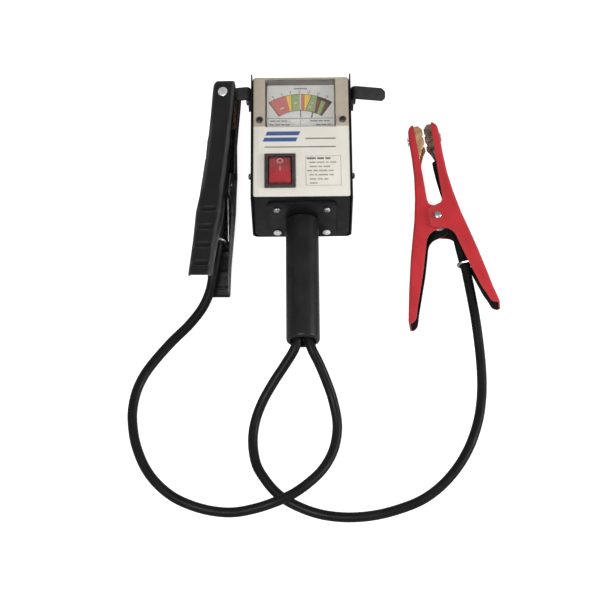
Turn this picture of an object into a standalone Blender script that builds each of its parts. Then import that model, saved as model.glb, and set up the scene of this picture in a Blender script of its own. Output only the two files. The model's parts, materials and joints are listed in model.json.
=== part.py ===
# Analogue battery load tester, lying on its back with the clamps beside it.
# Metres, +Z up. The origin is the centre of the case's back; the handle points along -Y.

from math import asin, cos, pi, radians, sin, sqrt

import bmesh
import bpy
from mathutils import Euler, Matrix, Vector

MM = 0.001
GAP = 0.3 * MM                     # clearance between touching pieces

# Case
FACE_WIDTH = 80.4 * MM
CASE_LENGTH = 113.6 * MM
CASE_HEIGHT = 72.0 * MM
SHEET = 1.2 * MM
FACE_RADIUS = 2.4 * MM
COVER_RADIUS = 5.0 * MM
COVER_OVERHANG = 4.0 * MM          # side walls run past the face's far end
LIP_DEPTH = 14.0 * MM
RETURN_WIDTH = 12.0 * MM
VENT_COUNT = 6
VENT_WIDTH = 3.0 * MM
VENT_HEIGHT = 24.0 * MM
VENT_PITCH = 9.0 * MM
VENT_Z = 26.0 * MM
COVER_SCREW_RADIUS = 2.6 * MM
COVER_SCREW_HEAD = 1.8 * MM
COVER_SCREW_Y = -33.0 * MM
COVER_SCREW_Z = 63.0 * MM

# Clamp-parking tabs
TAB_LENGTH = 29.0 * MM
TAB_WIDTH = 11.8 * MM
TAB_SHEET = 2.5 * MM
TAB_TOP = 57.0 * MM
TAB_Y = 50.6 * MM
TAB_SLOPE = 10.0                   # degrees, the tongue falls away from the case
TAB_FOOT = 22.0 * MM
TAB_CORNER = 3.0 * MM
TAB_SCREW_RADIUS = 3.2 * MM

# Handle
HANDLE_Z = 34.7 * MM
HANDLE_END = -168.5 * MM
FLANGE_WIDTH = 57.0 * MM
FLANGE_HEIGHT = 61.0 * MM
FLANGE_SHEET = 2.0 * MM
FLANGE_CORNER = 6.0 * MM
FLANGE_SCREW_PITCH = 41.0 * MM
FLANGE_SCREW_RADIUS = 3.6 * MM
FLANGE_SCREW_HEAD = 2.4 * MM
GRIP_RADIUS = 13.6 * MM
GRIP_MOUTH_RADIUS = 10.8 * MM
GRIP_END_ROUND = 2.2 * MM
TUBE_RADIUS = 11.1 * MM
TUBE_WALL = 1.5 * MM
TUBE_SETBACK = 5.0 * MM            # the tube ends this far inside the grip

# Meter
WINDOW_WIDTH = 58.5 * MM
WINDOW_HEIGHT = 45.8 * MM
WINDOW_X = -0.5 * MM
WINDOW_Y = 31.4 * MM
WINDOW_SHEET = 1.2 * MM
METER_WALL = 1.5 * MM
METER_DEPTH = 23.0 * MM
DIAL_DEPTH = 6.2 * MM              # dial face below the top of the case
DIAL_SHEET = 0.8 * MM
NEEDLE_AXIS_Y = -3.5 * MM
NEEDLE_LENGTH = 48.5 * MM
NEEDLE_TAIL = 7.5 * MM
NEEDLE_WIDTH = 0.9 * MM
NEEDLE_HUB_RADIUS = 2.6 * MM
NEEDLE_SHEET = 0.6 * MM
NEEDLE_LIFT = 1.2 * MM             # needle above the dial
MAGNET_RADIUS = 10.5 * MM
MAGNET_BORE = 6.5 * MM
COIL_FRAME_RADIUS = 5.0 * MM
BRIDGE_SHEET = 1.0 * MM
BRIDGE_WIDTH = 4.0 * MM
METER_SCREW_RADIUS = 2.9 * MM
METER_SCREW_HEAD = 1.8 * MM
METER_SCREW_X = 34.4 * MM
METER_SCREW_Y = 14.9 * MM

# Switch
SWITCH_X = -17.6 * MM
SWITCH_Y = -33.2 * MM
BEZEL_WIDTH = 25.5 * MM
BEZEL_LENGTH = 31.3 * MM
BEZEL_HEIGHT = 2.0 * MM
SWITCH_BODY_WIDTH = 21.5 * MM
SWITCH_BODY_LENGTH = 28.0 * MM
SWITCH_BODY_DEPTH = 24.0 * MM
SWITCH_FLOOR_DEPTH = 11.0 * MM
ROCKER_WIDTH = 17.9 * MM
ROCKER_LENGTH = 24.6 * MM
ROCKER_CLEARANCE = 0.7 * MM
ROCKER_TILT = 8.0                  # degrees, the far end pressed down
ROCKER_END = 2.8 * MM              # top of the rocker above its axis, at its ends
ROCKER_DISH = 1.4 * MM             # and at its middle
TERMINAL_WIDTH = 6.3 * MM
TERMINAL_SHEET = 0.8 * MM
TERMINAL_LENGTH = 9.0 * MM
TERMINAL_PITCH = 14.0 * MM

# Load inside the case
CERAMIC_LENGTH = 62.0 * MM
CERAMIC_WIDTH = 8.0 * MM
CERAMIC_HEIGHT = 10.0 * MM
CERAMIC_SPACING = 88.0 * MM        # between the two bars, along Y
LOAD_COIL_RADIUS = 8.0 * MM
LOAD_COIL_TURNS = 6
LOAD_COIL_X = 18.0 * MM
LOAD_WIRE_RADIUS = 1.1 * MM
BUS_SHEET = 1.5 * MM
SHIELD_Z = 34.0 * MM
SHIELD_SHEET = 0.8 * MM
SHIELD_WIDTH = 73.0 * MM
SHIELD_LENGTH = 84.0 * MM
SHIELD_Y = 10.0 * MM
LEAD_RADIUS = 2.6 * MM
SENSE_RADIUS = 0.7 * MM

# Cables
CORD_RADIUS = 4.0 * MM
CORD_STEP = 14.0 * MM              # spacing of the points along a cord
CORD_START_Y = -150.0 * MM
CORD_APART = 4.6 * MM              # each cord from the handle's axis

# Clamps, in each clamp's own frame: X across the arms, Y toward the jaws, Z along the pivot
CLAMP_SHEET = 1.2 * MM
CLAMP_WIDTH_PIVOT = 22.5 * MM
CLAMP_WIDTH_JAW = 18.6 * MM
CLAMP_WIDTH_HANDLE = 18.6 * MM
CLAMP_NEST = 3.2 * MM              # the moving arm is this much narrower at the ears
CLAMP_BEND = 4.5 * MM
RIVET_SHANK = 2.4 * MM
RIVET_HEAD = 3.7 * MM
RIVET_HEAD_HEIGHT = 1.6 * MM
JAW_RIVET_Y = 78.5 * MM
JAW_RIVET_HEAD = 4.2 * MM
JAW_RIVET_SHANK = 2.0 * MM
JAW_SHEET = 1.2 * MM
SPRING_WIRE = 1.1 * MM
SPRING_RADIUS = 6.6 * MM
SPRING_TURNS = 4.5
SPRING_PITCH = 2.7 * MM
SPRING_LEG_END = -40.0 * MM
STRAP_WIRE = 1.1 * MM
STRAP_Y = -44.0 * MM
STRAP_CABLE_X = -15.0 * MM          # the cable's middle under the strap
TROUGH_DEPTH = 1.0 * MM
TROUGH_HALF = 6.0 * MM
GROOVE_DEPTH = 1.0 * MM
GROOVE_PITCH = 16.6 * MM
GROOVE_FIRST = -32.0 * MM
GROOVE_COUNT = 4

# Where the clamps lie
RED_PIVOT = Vector((114.6, -50.0, 13.8)) * MM
RED_LEAN = 6.5                     # degrees, the jaws point up and to the left
RED_ROLL = 7.0
RED_OPEN = 0.0
BLACK_PIVOT = Vector((-68.6, -31.0, 45.5)) * MM
BLACK_LEAN = 4.5
BLACK_PITCH = 5.2
BLACK_ROLL = TAB_SLOPE
BLACK_OPEN = 1.3                   # degrees that each arm gives way to the tab

# Colours and surfaces: colour, roughness, metallic
FINISHES = {
    "case_black": ((0.016, 0.016, 0.017), 0.45, 0.0),
    "face_label": ((0.68, 0.65, 0.58), 0.45, 0.0),
    "zinc": ((0.72, 0.72, 0.70), 0.3, 1.0),
    "dark_screw": ((0.05, 0.05, 0.05), 0.35, 0.8),
    "grip_foam": ((0.022, 0.021, 0.023), 0.6, 0.0),
    "steel": ((0.55, 0.55, 0.55), 0.35, 1.0),
    "meter_black": ((0.02, 0.02, 0.021), 0.4, 0.0),
    "dial": ((0.62, 0.60, 0.55), 0.6, 0.0),
    "clear": ((0.9, 0.92, 0.92), 0.05, 0.0),
    "needle": ((0.02, 0.02, 0.02), 0.4, 0.0),
    "magnet": ((0.25, 0.25, 0.26), 0.4, 1.0),
    "rocker_red": ((0.55, 0.02, 0.035), 0.25, 0.0),
    "brass": ((0.72, 0.53, 0.22), 0.3, 1.0),
    "ceramic": ((0.75, 0.73, 0.68), 0.7, 0.0),
    "nichrome": ((0.30, 0.28, 0.26), 0.45, 1.0),
    "copper": ((0.66, 0.33, 0.17), 0.35, 1.0),
    "cable_black": ((0.018, 0.018, 0.019), 0.5, 0.0),
    "wire_red": ((0.45, 0.02, 0.02), 0.5, 0.0),
    "clamp_red": ((0.52, 0.02, 0.027), 0.4, 0.0),
    "clamp_black": ((0.016, 0.016, 0.017), 0.4, 0.0),
}


def clear_scene():
    for obj in list(bpy.data.objects):
        bpy.data.objects.remove(obj, do_unlink=True)


def new_collection(name):
    collection = bpy.data.collections.new(name)
    bpy.context.scene.collection.children.link(collection)
    return collection


def finish(name):
    material = bpy.data.materials.get(name)
    if material:
        return material
    colour, roughness, metallic = FINISHES[name]
    material = bpy.data.materials.new(name)
    material.use_nodes = True
    shader = material.node_tree.nodes["Principled BSDF"]
    shader.inputs["Base Color"].default_value = (*colour, 1.0)
    shader.inputs["Roughness"].default_value = roughness
    shader.inputs["Metallic"].default_value = metallic
    material.diffuse_color = (*colour, 1.0)
    return material


def place(obj, finish_name, location=(0, 0, 0), rotation=(0, 0, 0), parent=None):
    obj.location = location
    obj.rotation_euler = rotation
    obj.parent = parent
    if finish_name:
        obj.data.materials.append(finish(finish_name))
        PARTS.objects.link(obj)
    else:
        obj.hide_render = True
        obj.display_type = "WIRE"
        CUTTERS.objects.link(obj)
    return obj


def from_bmesh(name, bm, finish_name, location=(0, 0, 0), rotation=(0, 0, 0), parent=None):
    mesh = bpy.data.meshes.new(name)
    bm.to_mesh(mesh)
    bm.free()
    return place(bpy.data.objects.new(name, mesh), finish_name, location, rotation, parent)


def smooth(obj, angle=35.0):
    obj.data.shade_smooth()
    obj.data.set_sharp_from_angle(angle=radians(angle))
    return obj


def block(name, size, centre, finish_name, rotation=(0, 0, 0), parent=None, bevel=0.0):
    bm = bmesh.new()
    bmesh.ops.create_cube(bm, size=1.0)
    bmesh.ops.scale(bm, vec=size, verts=bm.verts)
    obj = from_bmesh(name, bm, finish_name, centre, rotation, parent)
    if bevel:
        rounding = obj.modifiers.new("rounding", "BEVEL")
        rounding.width = bevel
        rounding.segments = 2
    return obj


def rod(name, radius, length, centre, finish_name, rotation=(0, 0, 0), parent=None, sides=24):
    bm = bmesh.new()
    bmesh.ops.create_cone(bm, cap_ends=True, segments=sides, radius1=radius, radius2=radius,
                          depth=length)
    return smooth(from_bmesh(name, bm, finish_name, centre, rotation, parent))


def turned(name, profile, finish_name, location=(0, 0, 0), rotation=(0, 0, 0), parent=None,
           steps=24, closed=False):
    """A profile of (radius, height) points, read down its outer side, turned about local Z."""
    bm = bmesh.new()
    verts = [bm.verts.new((radius, 0.0, height)) for radius, height in profile]
    for first, second in zip(verts, verts[1:]):
        bm.edges.new((first, second))
    if closed:
        bm.edges.new((verts[-1], verts[0]))
    obj = from_bmesh(name, bm, finish_name, location, rotation, parent)
    lathe = obj.modifiers.new("lathe", "SCREW")
    lathe.axis = "Z"
    lathe.angle = 2 * pi
    lathe.steps = steps
    lathe.render_steps = steps
    lathe.use_merge_vertices = True
    lathe.merge_threshold = 0.00001
    lathe.use_smooth_shade = True
    return obj


def dome_profile(head_radius, head_height):
    """A domed head standing on z = 0."""
    dome = []
    for step in range(4):
        angle = radians(90.0 - 25.0 * step)
        dome.append((head_radius * cos(angle), head_height * (0.35 + 0.65 * sin(angle))))
    dome[0] = (0.0, dome[0][1])
    return dome + [(head_radius, 0.0), (0.0, 0.0)]


def rivet_profile(head_radius, head_height, shank_radius, shank_length):
    """A domed head and the plain shank below it."""
    return dome_profile(head_radius, head_height)[:-1] + [
        (shank_radius, 0.0), (shank_radius, -shank_length), (0.0, -shank_length)]


def poly_curve(name, splines, dimensions):
    curve = bpy.data.curves.new(name, "CURVE")
    curve.dimensions = dimensions
    for points, cyclic in splines:
        spline = curve.splines.new("POLY")
        spline.points.add(len(points) - 1)
        for target, point in zip(spline.points, points):
            target.co = (point[0], point[1], point[2] if len(point) > 2 else 0.0, 1.0)
        spline.use_cyclic_u = cyclic
    return curve


def wire(name, points, radius, finish_name, parent=None, sides_resolution=2):
    curve = poly_curve(name, [(points, False)], "3D")
    curve.bevel_depth = radius
    curve.bevel_resolution = sides_resolution
    curve.use_fill_caps = True
    return place(bpy.data.objects.new(name, curve), finish_name, parent=parent)


def sheet(name, outline, thickness, finish_name, location=(0, 0, 0), rotation=(0, 0, 0),
          parent=None, holes=()):
    """A flat plate: an outline in local XY, thick along local Z."""
    curve = poly_curve(name, [(points, True) for points in (outline, *holes)], "2D")
    curve.fill_mode = "BOTH"
    curve.extrude = thickness / 2
    return place(bpy.data.objects.new(name, curve), finish_name, location, rotation, parent)


def to_mesh(obj):
    """Turn a curve object into a welded mesh object of the same name, ready for cutting."""
    bpy.context.view_layer.update()
    graph = bpy.context.evaluated_depsgraph_get()
    mesh = bpy.data.meshes.new_from_object(obj.evaluated_get(graph))
    bm = bmesh.new()
    bm.from_mesh(mesh)
    bmesh.ops.remove_doubles(bm, verts=bm.verts, dist=0.00001)
    bm.to_mesh(mesh)
    bm.free()
    name, world, collection = obj.name, obj.matrix_world.copy(), obj.users_collection[0]
    bpy.data.objects.remove(obj, do_unlink=True)
    solid = bpy.data.objects.new(name, mesh)
    solid.name = name
    collection.objects.link(solid)
    solid.matrix_world = world
    return solid


def cut(target, *cutters, operation="DIFFERENCE"):
    for cutter in cutters:
        boolean = target.modifiers.new(cutter.name, "BOOLEAN")
        boolean.operation = operation
        boolean.solver = "EXACT"
        boolean.object = cutter
    return target


def rounded_rectangle(width, height, radius, arc_steps=4):
    points = []
    corners = ((1, 1, 0), (-1, 1, 90), (-1, -1, 180), (1, -1, 270))
    for side_x, side_y, start in corners:
        centre_x = side_x * (width / 2 - radius)
        centre_y = side_y * (height / 2 - radius)
        for step in range(arc_steps + 1):
            angle = radians(start + 90.0 * step / arc_steps)
            points.append((centre_x + radius * cos(angle), centre_y + radius * sin(angle)))
    return points


def circle(radius, centre=(0.0, 0.0), sides=16):
    return [(centre[0] + radius * cos(2 * pi * step / sides),
             centre[1] + radius * sin(2 * pi * step / sides)) for step in range(sides)]


def smooth_path(points, spacing):
    """Points read at even spacing from a smooth curve through the given ones."""
    points = [Vector(point) for point in points]
    padded = [2 * points[0] - points[1], *points, 2 * points[-1] - points[-2]]
    dense = []
    for before, start, end, after in zip(padded, padded[1:], padded[2:], padded[3:]):
        for step in range(12):
            t = step / 12
            dense.append(0.5 * (2 * start + (end - before) * t
                                + (2 * before - 5 * start + 4 * end - after) * t ** 2
                                + (3 * start - before - 3 * end + after) * t ** 3))
    dense.append(points[-1])
    length = sum((b - a).length for a, b in zip(dense, dense[1:]))
    count = max(2, round(length / spacing))
    result = [dense[0]]
    travelled = 0.0
    for a, b in zip(dense, dense[1:]):
        part = (b - a).length
        while len(result) < count and travelled + part >= length * len(result) / count:
            share = (length * len(result) / count - travelled) / part
            result.append(a.lerp(b, share))
        travelled += part
    result.append(dense[-1])
    return result


def between(table, position):
    """Straight-line reading of a table of (position, value), positions falling."""
    if position >= table[0][0]:
        return table[0][1]
    for (high, high_value), (low, low_value) in zip(table, table[1:]):
        if position >= low:
            return low_value + (high_value - low_value) * (position - low) / (high - low)
    return table[-1][1]


COVER_WALL_X = FACE_WIDTH / 2 + GAP
COVER_OUTER_X = COVER_WALL_X + SHEET
NEAR_Y = -CASE_LENGTH / 2
PANEL_BOTTOM = SHEET + GAP
FACE_UNDERSIDE = CASE_HEIGHT - SHEET
TUBE_BORE = TUBE_RADIUS - TUBE_WALL


def front_panel():
    """Face, two end walls and short side lips, folded from one sheet."""
    height = CASE_HEIGHT - PANEL_BOTTOM
    bm = bmesh.new()
    bmesh.ops.create_cube(bm, size=1.0)
    bmesh.ops.scale(bm, vec=(FACE_WIDTH, CASE_LENGTH, height), verts=bm.verts)
    bottom = [face for face in bm.faces if face.normal.z < -0.5]
    bmesh.ops.delete(bm, geom=bottom, context="FACES")
    weight = bm.edges.layers.float.new("bevel_weight_edge")
    for edge in bm.edges:
        middle = (edge.verts[0].co + edge.verts[1].co) / 2
        edge[weight] = 0.0 if middle.z < -height / 2 + MM else 1.0
    panel = from_bmesh("front_panel", bm, "face_label",
                       (0, 0, PANEL_BOTTOM + height / 2))
    bends = panel.modifiers.new("bends", "BEVEL")
    bends.limit_method = "WEIGHT"
    bends.width = FACE_RADIUS
    bends.segments = 3
    wall = panel.modifiers.new("wall", "SOLIDIFY")
    wall.thickness = SHEET
    wall.offset = -1.0
    wall.use_even_offset = True

    notch_height = CASE_HEIGHT - LIP_DEPTH
    cut(panel, block("side_notch", (FACE_WIDTH * 2, CASE_LENGTH - 2 * RETURN_WIDTH, notch_height),
                     (0, 0, notch_height / 2 - MM), None))
    for side in (-1, 1):
        corner = (side * (FACE_WIDTH / 2), 0, PANEL_BOTTOM)
        size = (COVER_RADIUS * sqrt(2), CASE_LENGTH * 2, COVER_RADIUS * sqrt(2))
        cut(panel, block(f"corner_cut_{side}", size, corner, None, (0, radians(45), 0)))
    cut(panel, block("window_cut", (WINDOW_WIDTH, WINDOW_HEIGHT, 10 * MM),
                     (WINDOW_X, WINDOW_Y, CASE_HEIGHT), None))
    cut(panel, block("switch_cut", (SWITCH_BODY_WIDTH + 2 * GAP, SWITCH_BODY_LENGTH + 2 * GAP,
                                    10 * MM), (SWITCH_X, SWITCH_Y, CASE_HEIGHT), None))
    cut(panel, rod("lead_cut", TUBE_BORE, 12 * MM, (0, NEAR_Y, HANDLE_Z), None,
                   (radians(90), 0, 0)))
    return panel


def rear_cover():
    """A channel over the back and both sides, with vent slots in the side walls."""
    length = CASE_LENGTH + COVER_OVERHANG
    outer = [(-COVER_OUTER_X, CASE_HEIGHT - FACE_RADIUS)]
    inner = [(COVER_WALL_X, CASE_HEIGHT - FACE_RADIUS)]
    for step in range(5):
        angle = radians(180 + 22.5 * step)
        outer.append((-COVER_OUTER_X + COVER_RADIUS + COVER_RADIUS * cos(angle),
                      COVER_RADIUS + COVER_RADIUS * sin(angle)))
    for step in range(5):
        angle = radians(270 + 22.5 * step)
        outer.append((COVER_OUTER_X - COVER_RADIUS + COVER_RADIUS * cos(angle),
                      COVER_RADIUS + COVER_RADIUS * sin(angle)))
    outer.append((COVER_OUTER_X, CASE_HEIGHT - FACE_RADIUS))
    bend = COVER_RADIUS - SHEET
    for step in range(5):
        angle = radians(360 - 22.5 * step)
        inner.append((COVER_WALL_X - bend + bend * cos(angle), COVER_RADIUS + bend * sin(angle)))
    for step in range(5):
        angle = radians(270 - 22.5 * step)
        inner.append((-COVER_WALL_X + bend + bend * cos(angle), COVER_RADIUS + bend * sin(angle)))
    inner.append((-COVER_WALL_X, CASE_HEIGHT - FACE_RADIUS))
    cover = to_mesh(sheet("rear_cover", outer + inner, length, "case_black",
                          (0, COVER_OVERHANG / 2, 0), (radians(90), 0, 0)))
    for index in range(VENT_COUNT):
        y = (index - (VENT_COUNT - 1) / 2) * VENT_PITCH
        cut(cover, block(f"vent_{index}", (4 * COVER_OUTER_X, VENT_WIDTH, VENT_HEIGHT),
                         (0, y, VENT_Z), None))
    return cover


def side_screw(name, side, y, z, radius, head, base_x, finish_name):
    """A pan head on a side wall, standing off along X."""
    return turned(name, dome_profile(radius, head), finish_name, (side * base_x, y, z),
                  (0, side * radians(90), 0), steps=12)


def case_screws():
    for side, label in ((-1, "left"), (1, "right")):
        side_screw(f"cover_screw_{label}", side, COVER_SCREW_Y, COVER_SCREW_Z,
                   COVER_SCREW_RADIUS, COVER_SCREW_HEAD, COVER_OUTER_X + GAP, "dark_screw")
        side_screw(f"tab_screw_{label}", side, TAB_Y, TAB_TOP - TAB_FOOT * 0.68,
                   TAB_SCREW_RADIUS, COVER_SCREW_HEAD,
                   COVER_OUTER_X + TAB_SHEET + 2 * GAP, "dark_screw")


def parking_tab(name, side):
    """An L bracket: a foot on the side wall and a flat tongue that a clamp bites."""
    start = COVER_OUTER_X + GAP
    foot = TAB_TOP - TAB_FOOT
    bend = TAB_SHEET + 1.5 * MM
    inner = bend - TAB_SHEET
    centre = (start + bend, TAB_TOP - bend)
    sweep = 90.0 + TAB_SLOPE
    reach = TAB_LENGTH - bend
    along = (cos(radians(TAB_SLOPE)), -sin(radians(TAB_SLOPE)))
    rim = (sin(radians(TAB_SLOPE)), cos(radians(TAB_SLOPE)))
    points = [(start, foot), (start + TAB_SHEET, foot)]
    for step in range(4):
        angle = radians(180.0 - sweep * step / 3)
        points.append((centre[0] + inner * cos(angle), centre[1] + inner * sin(angle)))
    points.append((centre[0] + inner * rim[0] + reach * along[0],
                   centre[1] + inner * rim[1] + reach * along[1]))
    points.append((centre[0] + bend * rim[0] + reach * along[0],
                   centre[1] + bend * rim[1] + reach * along[1]))
    for step in range(4):
        angle = radians(180.0 - sweep * (3 - step) / 3)
        points.append((centre[0] + bend * cos(angle), centre[1] + bend * sin(angle)))
    tip_x, tip_z = points[7]
    points = [(side * x, z) for x, z in points]
    bracket = to_mesh(sheet(name, points, TAB_WIDTH, "case_black", (0, TAB_Y, 0),
                            (radians(90), 0, 0)))
    for end in (-1, 1):
        corner = (side * tip_x, TAB_Y + end * TAB_WIDTH / 2, tip_z)
        size = (TAB_CORNER * sqrt(2), TAB_CORNER * sqrt(2), 6 * TAB_SHEET)
        cut(bracket, block(f"{name}_corner_{end}", size, corner, None, (0, 0, radians(45))))
    return bracket


def handle():
    """Flange, four screws, steel tube and the grip over it."""
    base_y = NEAR_Y - GAP
    half_pitch = FLANGE_SCREW_PITCH / 2
    sheet("handle_flange", rounded_rectangle(FLANGE_WIDTH, FLANGE_HEIGHT, FLANGE_CORNER),
          FLANGE_SHEET, "case_black", (0, base_y - FLANGE_SHEET / 2, HANDLE_Z),
          (radians(90), 0, 0), holes=[circle(TUBE_BORE, sides=24)])
    face_y = base_y - FLANGE_SHEET
    profile = dome_profile(FLANGE_SCREW_RADIUS, FLANGE_SCREW_HEAD)
    for label, side, up in (("top_left", -1, 1), ("top_right", 1, 1), ("low_left", -1, -1),
                            ("low_right", 1, -1)):
        turned(f"flange_screw_{label}", profile, "zinc",
               (side * half_pitch, face_y - GAP, HANDLE_Z + up * half_pitch),
               (radians(90), 0, 0), steps=12)

    grip_start = face_y - GAP
    length = grip_start - HANDLE_END
    bore = TUBE_RADIUS + GAP
    grip = [(GRIP_RADIUS - 0.8 * MM, 0.0), (GRIP_RADIUS, -0.8 * MM)]
    for step in range(5):
        angle = radians(22.5 * step)
        grip.append((GRIP_RADIUS - GRIP_END_ROUND + GRIP_END_ROUND * cos(angle),
                     -length + GRIP_END_ROUND * (1 - sin(angle))))
    grip += [(GRIP_MOUTH_RADIUS, -length), (GRIP_MOUTH_RADIUS, -length + TUBE_SETBACK - GAP),
             (bore, -length + TUBE_SETBACK - GAP), (bore, 0.0)]
    turned("handle_grip", grip, "grip_foam", (0, grip_start, HANDLE_Z), (radians(-90), 0, 0),
           steps=28, closed=True)
    tube_length = length - TUBE_SETBACK
    tube = [(TUBE_RADIUS, 0.0), (TUBE_RADIUS, -tube_length), (TUBE_BORE, -tube_length),
            (TUBE_BORE, 0.0)]
    turned("handle_tube", tube, "steel", (0, grip_start, HANDLE_Z), (radians(-90), 0, 0),
           steps=24, closed=True)


METER_SEAT = GAP + (FACE_RADIUS - SHEET) * (1 - 1 / sqrt(2))   # clears the bend of the face
METER_TOP = FACE_UNDERSIDE - METER_SEAT
METER_FLOOR = METER_TOP - METER_DEPTH
METER_FAR = CASE_LENGTH / 2 - SHEET - METER_SEAT
METER_NEAR = NEEDLE_AXIS_Y - MAGNET_RADIUS - METER_WALL - MM
METER_OUTER_WIDTH = WINDOW_WIDTH + METER_WALL
DIAL_TOP = METER_TOP - DIAL_DEPTH
NEEDLE_Z = DIAL_TOP + NEEDLE_LIFT
MAGNET_TOP = DIAL_TOP - MM
MAGNET_HEIGHT = MAGNET_TOP - METER_FLOOR - METER_WALL - GAP


def meter():
    """Case, dial, clear window, and the movement behind the dial."""
    length = METER_FAR - METER_NEAR
    centre_y = (METER_FAR + METER_NEAR) / 2
    case = block("meter_case", (METER_OUTER_WIDTH, length, METER_DEPTH),
                 (WINDOW_X, centre_y, METER_FLOOR + METER_DEPTH / 2), "meter_black")
    cut(case, block("meter_hollow", (METER_OUTER_WIDTH - 2 * METER_WALL, length - 2 * METER_WALL,
                                     METER_DEPTH),
                    (WINDOW_X, centre_y, METER_FLOOR + METER_DEPTH / 2 + METER_WALL), None))
    inner_width = METER_OUTER_WIDTH - 2 * METER_WALL - 2 * GAP
    dial_near = NEEDLE_AXIS_Y + MAGNET_RADIUS + 2 * MM
    dial_far = METER_FAR - METER_WALL - GAP
    sheet("meter_dial", rounded_rectangle(inner_width, dial_far - dial_near, MM),
          DIAL_SHEET, "dial", (WINDOW_X, (dial_near + dial_far) / 2, DIAL_TOP - DIAL_SHEET / 2))
    block("meter_window", (WINDOW_WIDTH - 2 * GAP, WINDOW_HEIGHT - 2 * GAP, WINDOW_SHEET),
          (WINDOW_X, WINDOW_Y, METER_TOP + GAP + WINDOW_SHEET / 2), "clear")

    magnet = [(MAGNET_RADIUS, 0.0), (MAGNET_RADIUS, -MAGNET_HEIGHT), (MAGNET_BORE, -MAGNET_HEIGHT),
              (MAGNET_BORE, 0.0)]
    turned("meter_magnet", magnet, "magnet", (WINDOW_X, NEEDLE_AXIS_Y, MAGNET_TOP),
           steps=24, closed=True)
    bridge_top = METER_TOP - 0.6 * MM
    leg_x = MAGNET_RADIUS - 2 * MM
    foot_z = MAGNET_TOP + GAP
    bridge = [(-leg_x, foot_z), (-leg_x, bridge_top), (leg_x, bridge_top), (leg_x, foot_z),
              (leg_x - BRIDGE_SHEET, foot_z), (leg_x - BRIDGE_SHEET, bridge_top - BRIDGE_SHEET),
              (-leg_x + BRIDGE_SHEET, bridge_top - BRIDGE_SHEET), (-leg_x + BRIDGE_SHEET, foot_z)]
    sheet("meter_bridge", bridge, BRIDGE_WIDTH, "brass", (WINDOW_X, NEEDLE_AXIS_Y, 0),
          (radians(90), 0, 0))
    profile = dome_profile(METER_SCREW_RADIUS, METER_SCREW_HEAD)
    for side, label in ((-1, "left"), (1, "right")):
        turned(f"meter_screw_{label}", profile, "dark_screw",
               (side * METER_SCREW_X, METER_SCREW_Y, CASE_HEIGHT + GAP), steps=12)


def needle():
    """Pointer with its hub and tail, and the moving coil under it, both about the needle's axis."""
    axis = bpy.data.objects.new("needle_axis", None)
    axis.location = (WINDOW_X, NEEDLE_AXIS_Y, NEEDLE_Z)
    PARTS.objects.link(axis)
    half = NEEDLE_WIDTH / 2
    reach = asin(half / NEEDLE_HUB_RADIUS)
    tail_half = 1.5 * half
    tail_reach = asin(tail_half / NEEDLE_HUB_RADIUS)
    outline = [(half * 0.5, NEEDLE_LENGTH), (-half * 0.5, NEEDLE_LENGTH)]
    for step in range(7):
        angle = pi / 2 + reach + (pi - reach - tail_reach) * step / 6
        outline.append((NEEDLE_HUB_RADIUS * cos(angle), NEEDLE_HUB_RADIUS * sin(angle)))
    outline += [(-tail_half, -NEEDLE_TAIL), (tail_half, -NEEDLE_TAIL)]
    for step in range(7):
        angle = -pi / 2 + tail_reach + (pi - reach - tail_reach) * step / 6
        outline.append((NEEDLE_HUB_RADIUS * cos(angle), NEEDLE_HUB_RADIUS * sin(angle)))
    sheet("meter_needle", outline, NEEDLE_SHEET, "needle", (0, 0, NEEDLE_SHEET / 2), parent=axis)
    coil_length = NEEDLE_Z - METER_FLOOR - METER_WALL - 2 * GAP
    rod("meter_coil", COIL_FRAME_RADIUS, coil_length, (0, 0, -GAP - coil_length / 2), "copper",
        parent=axis, sides=16)


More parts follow.
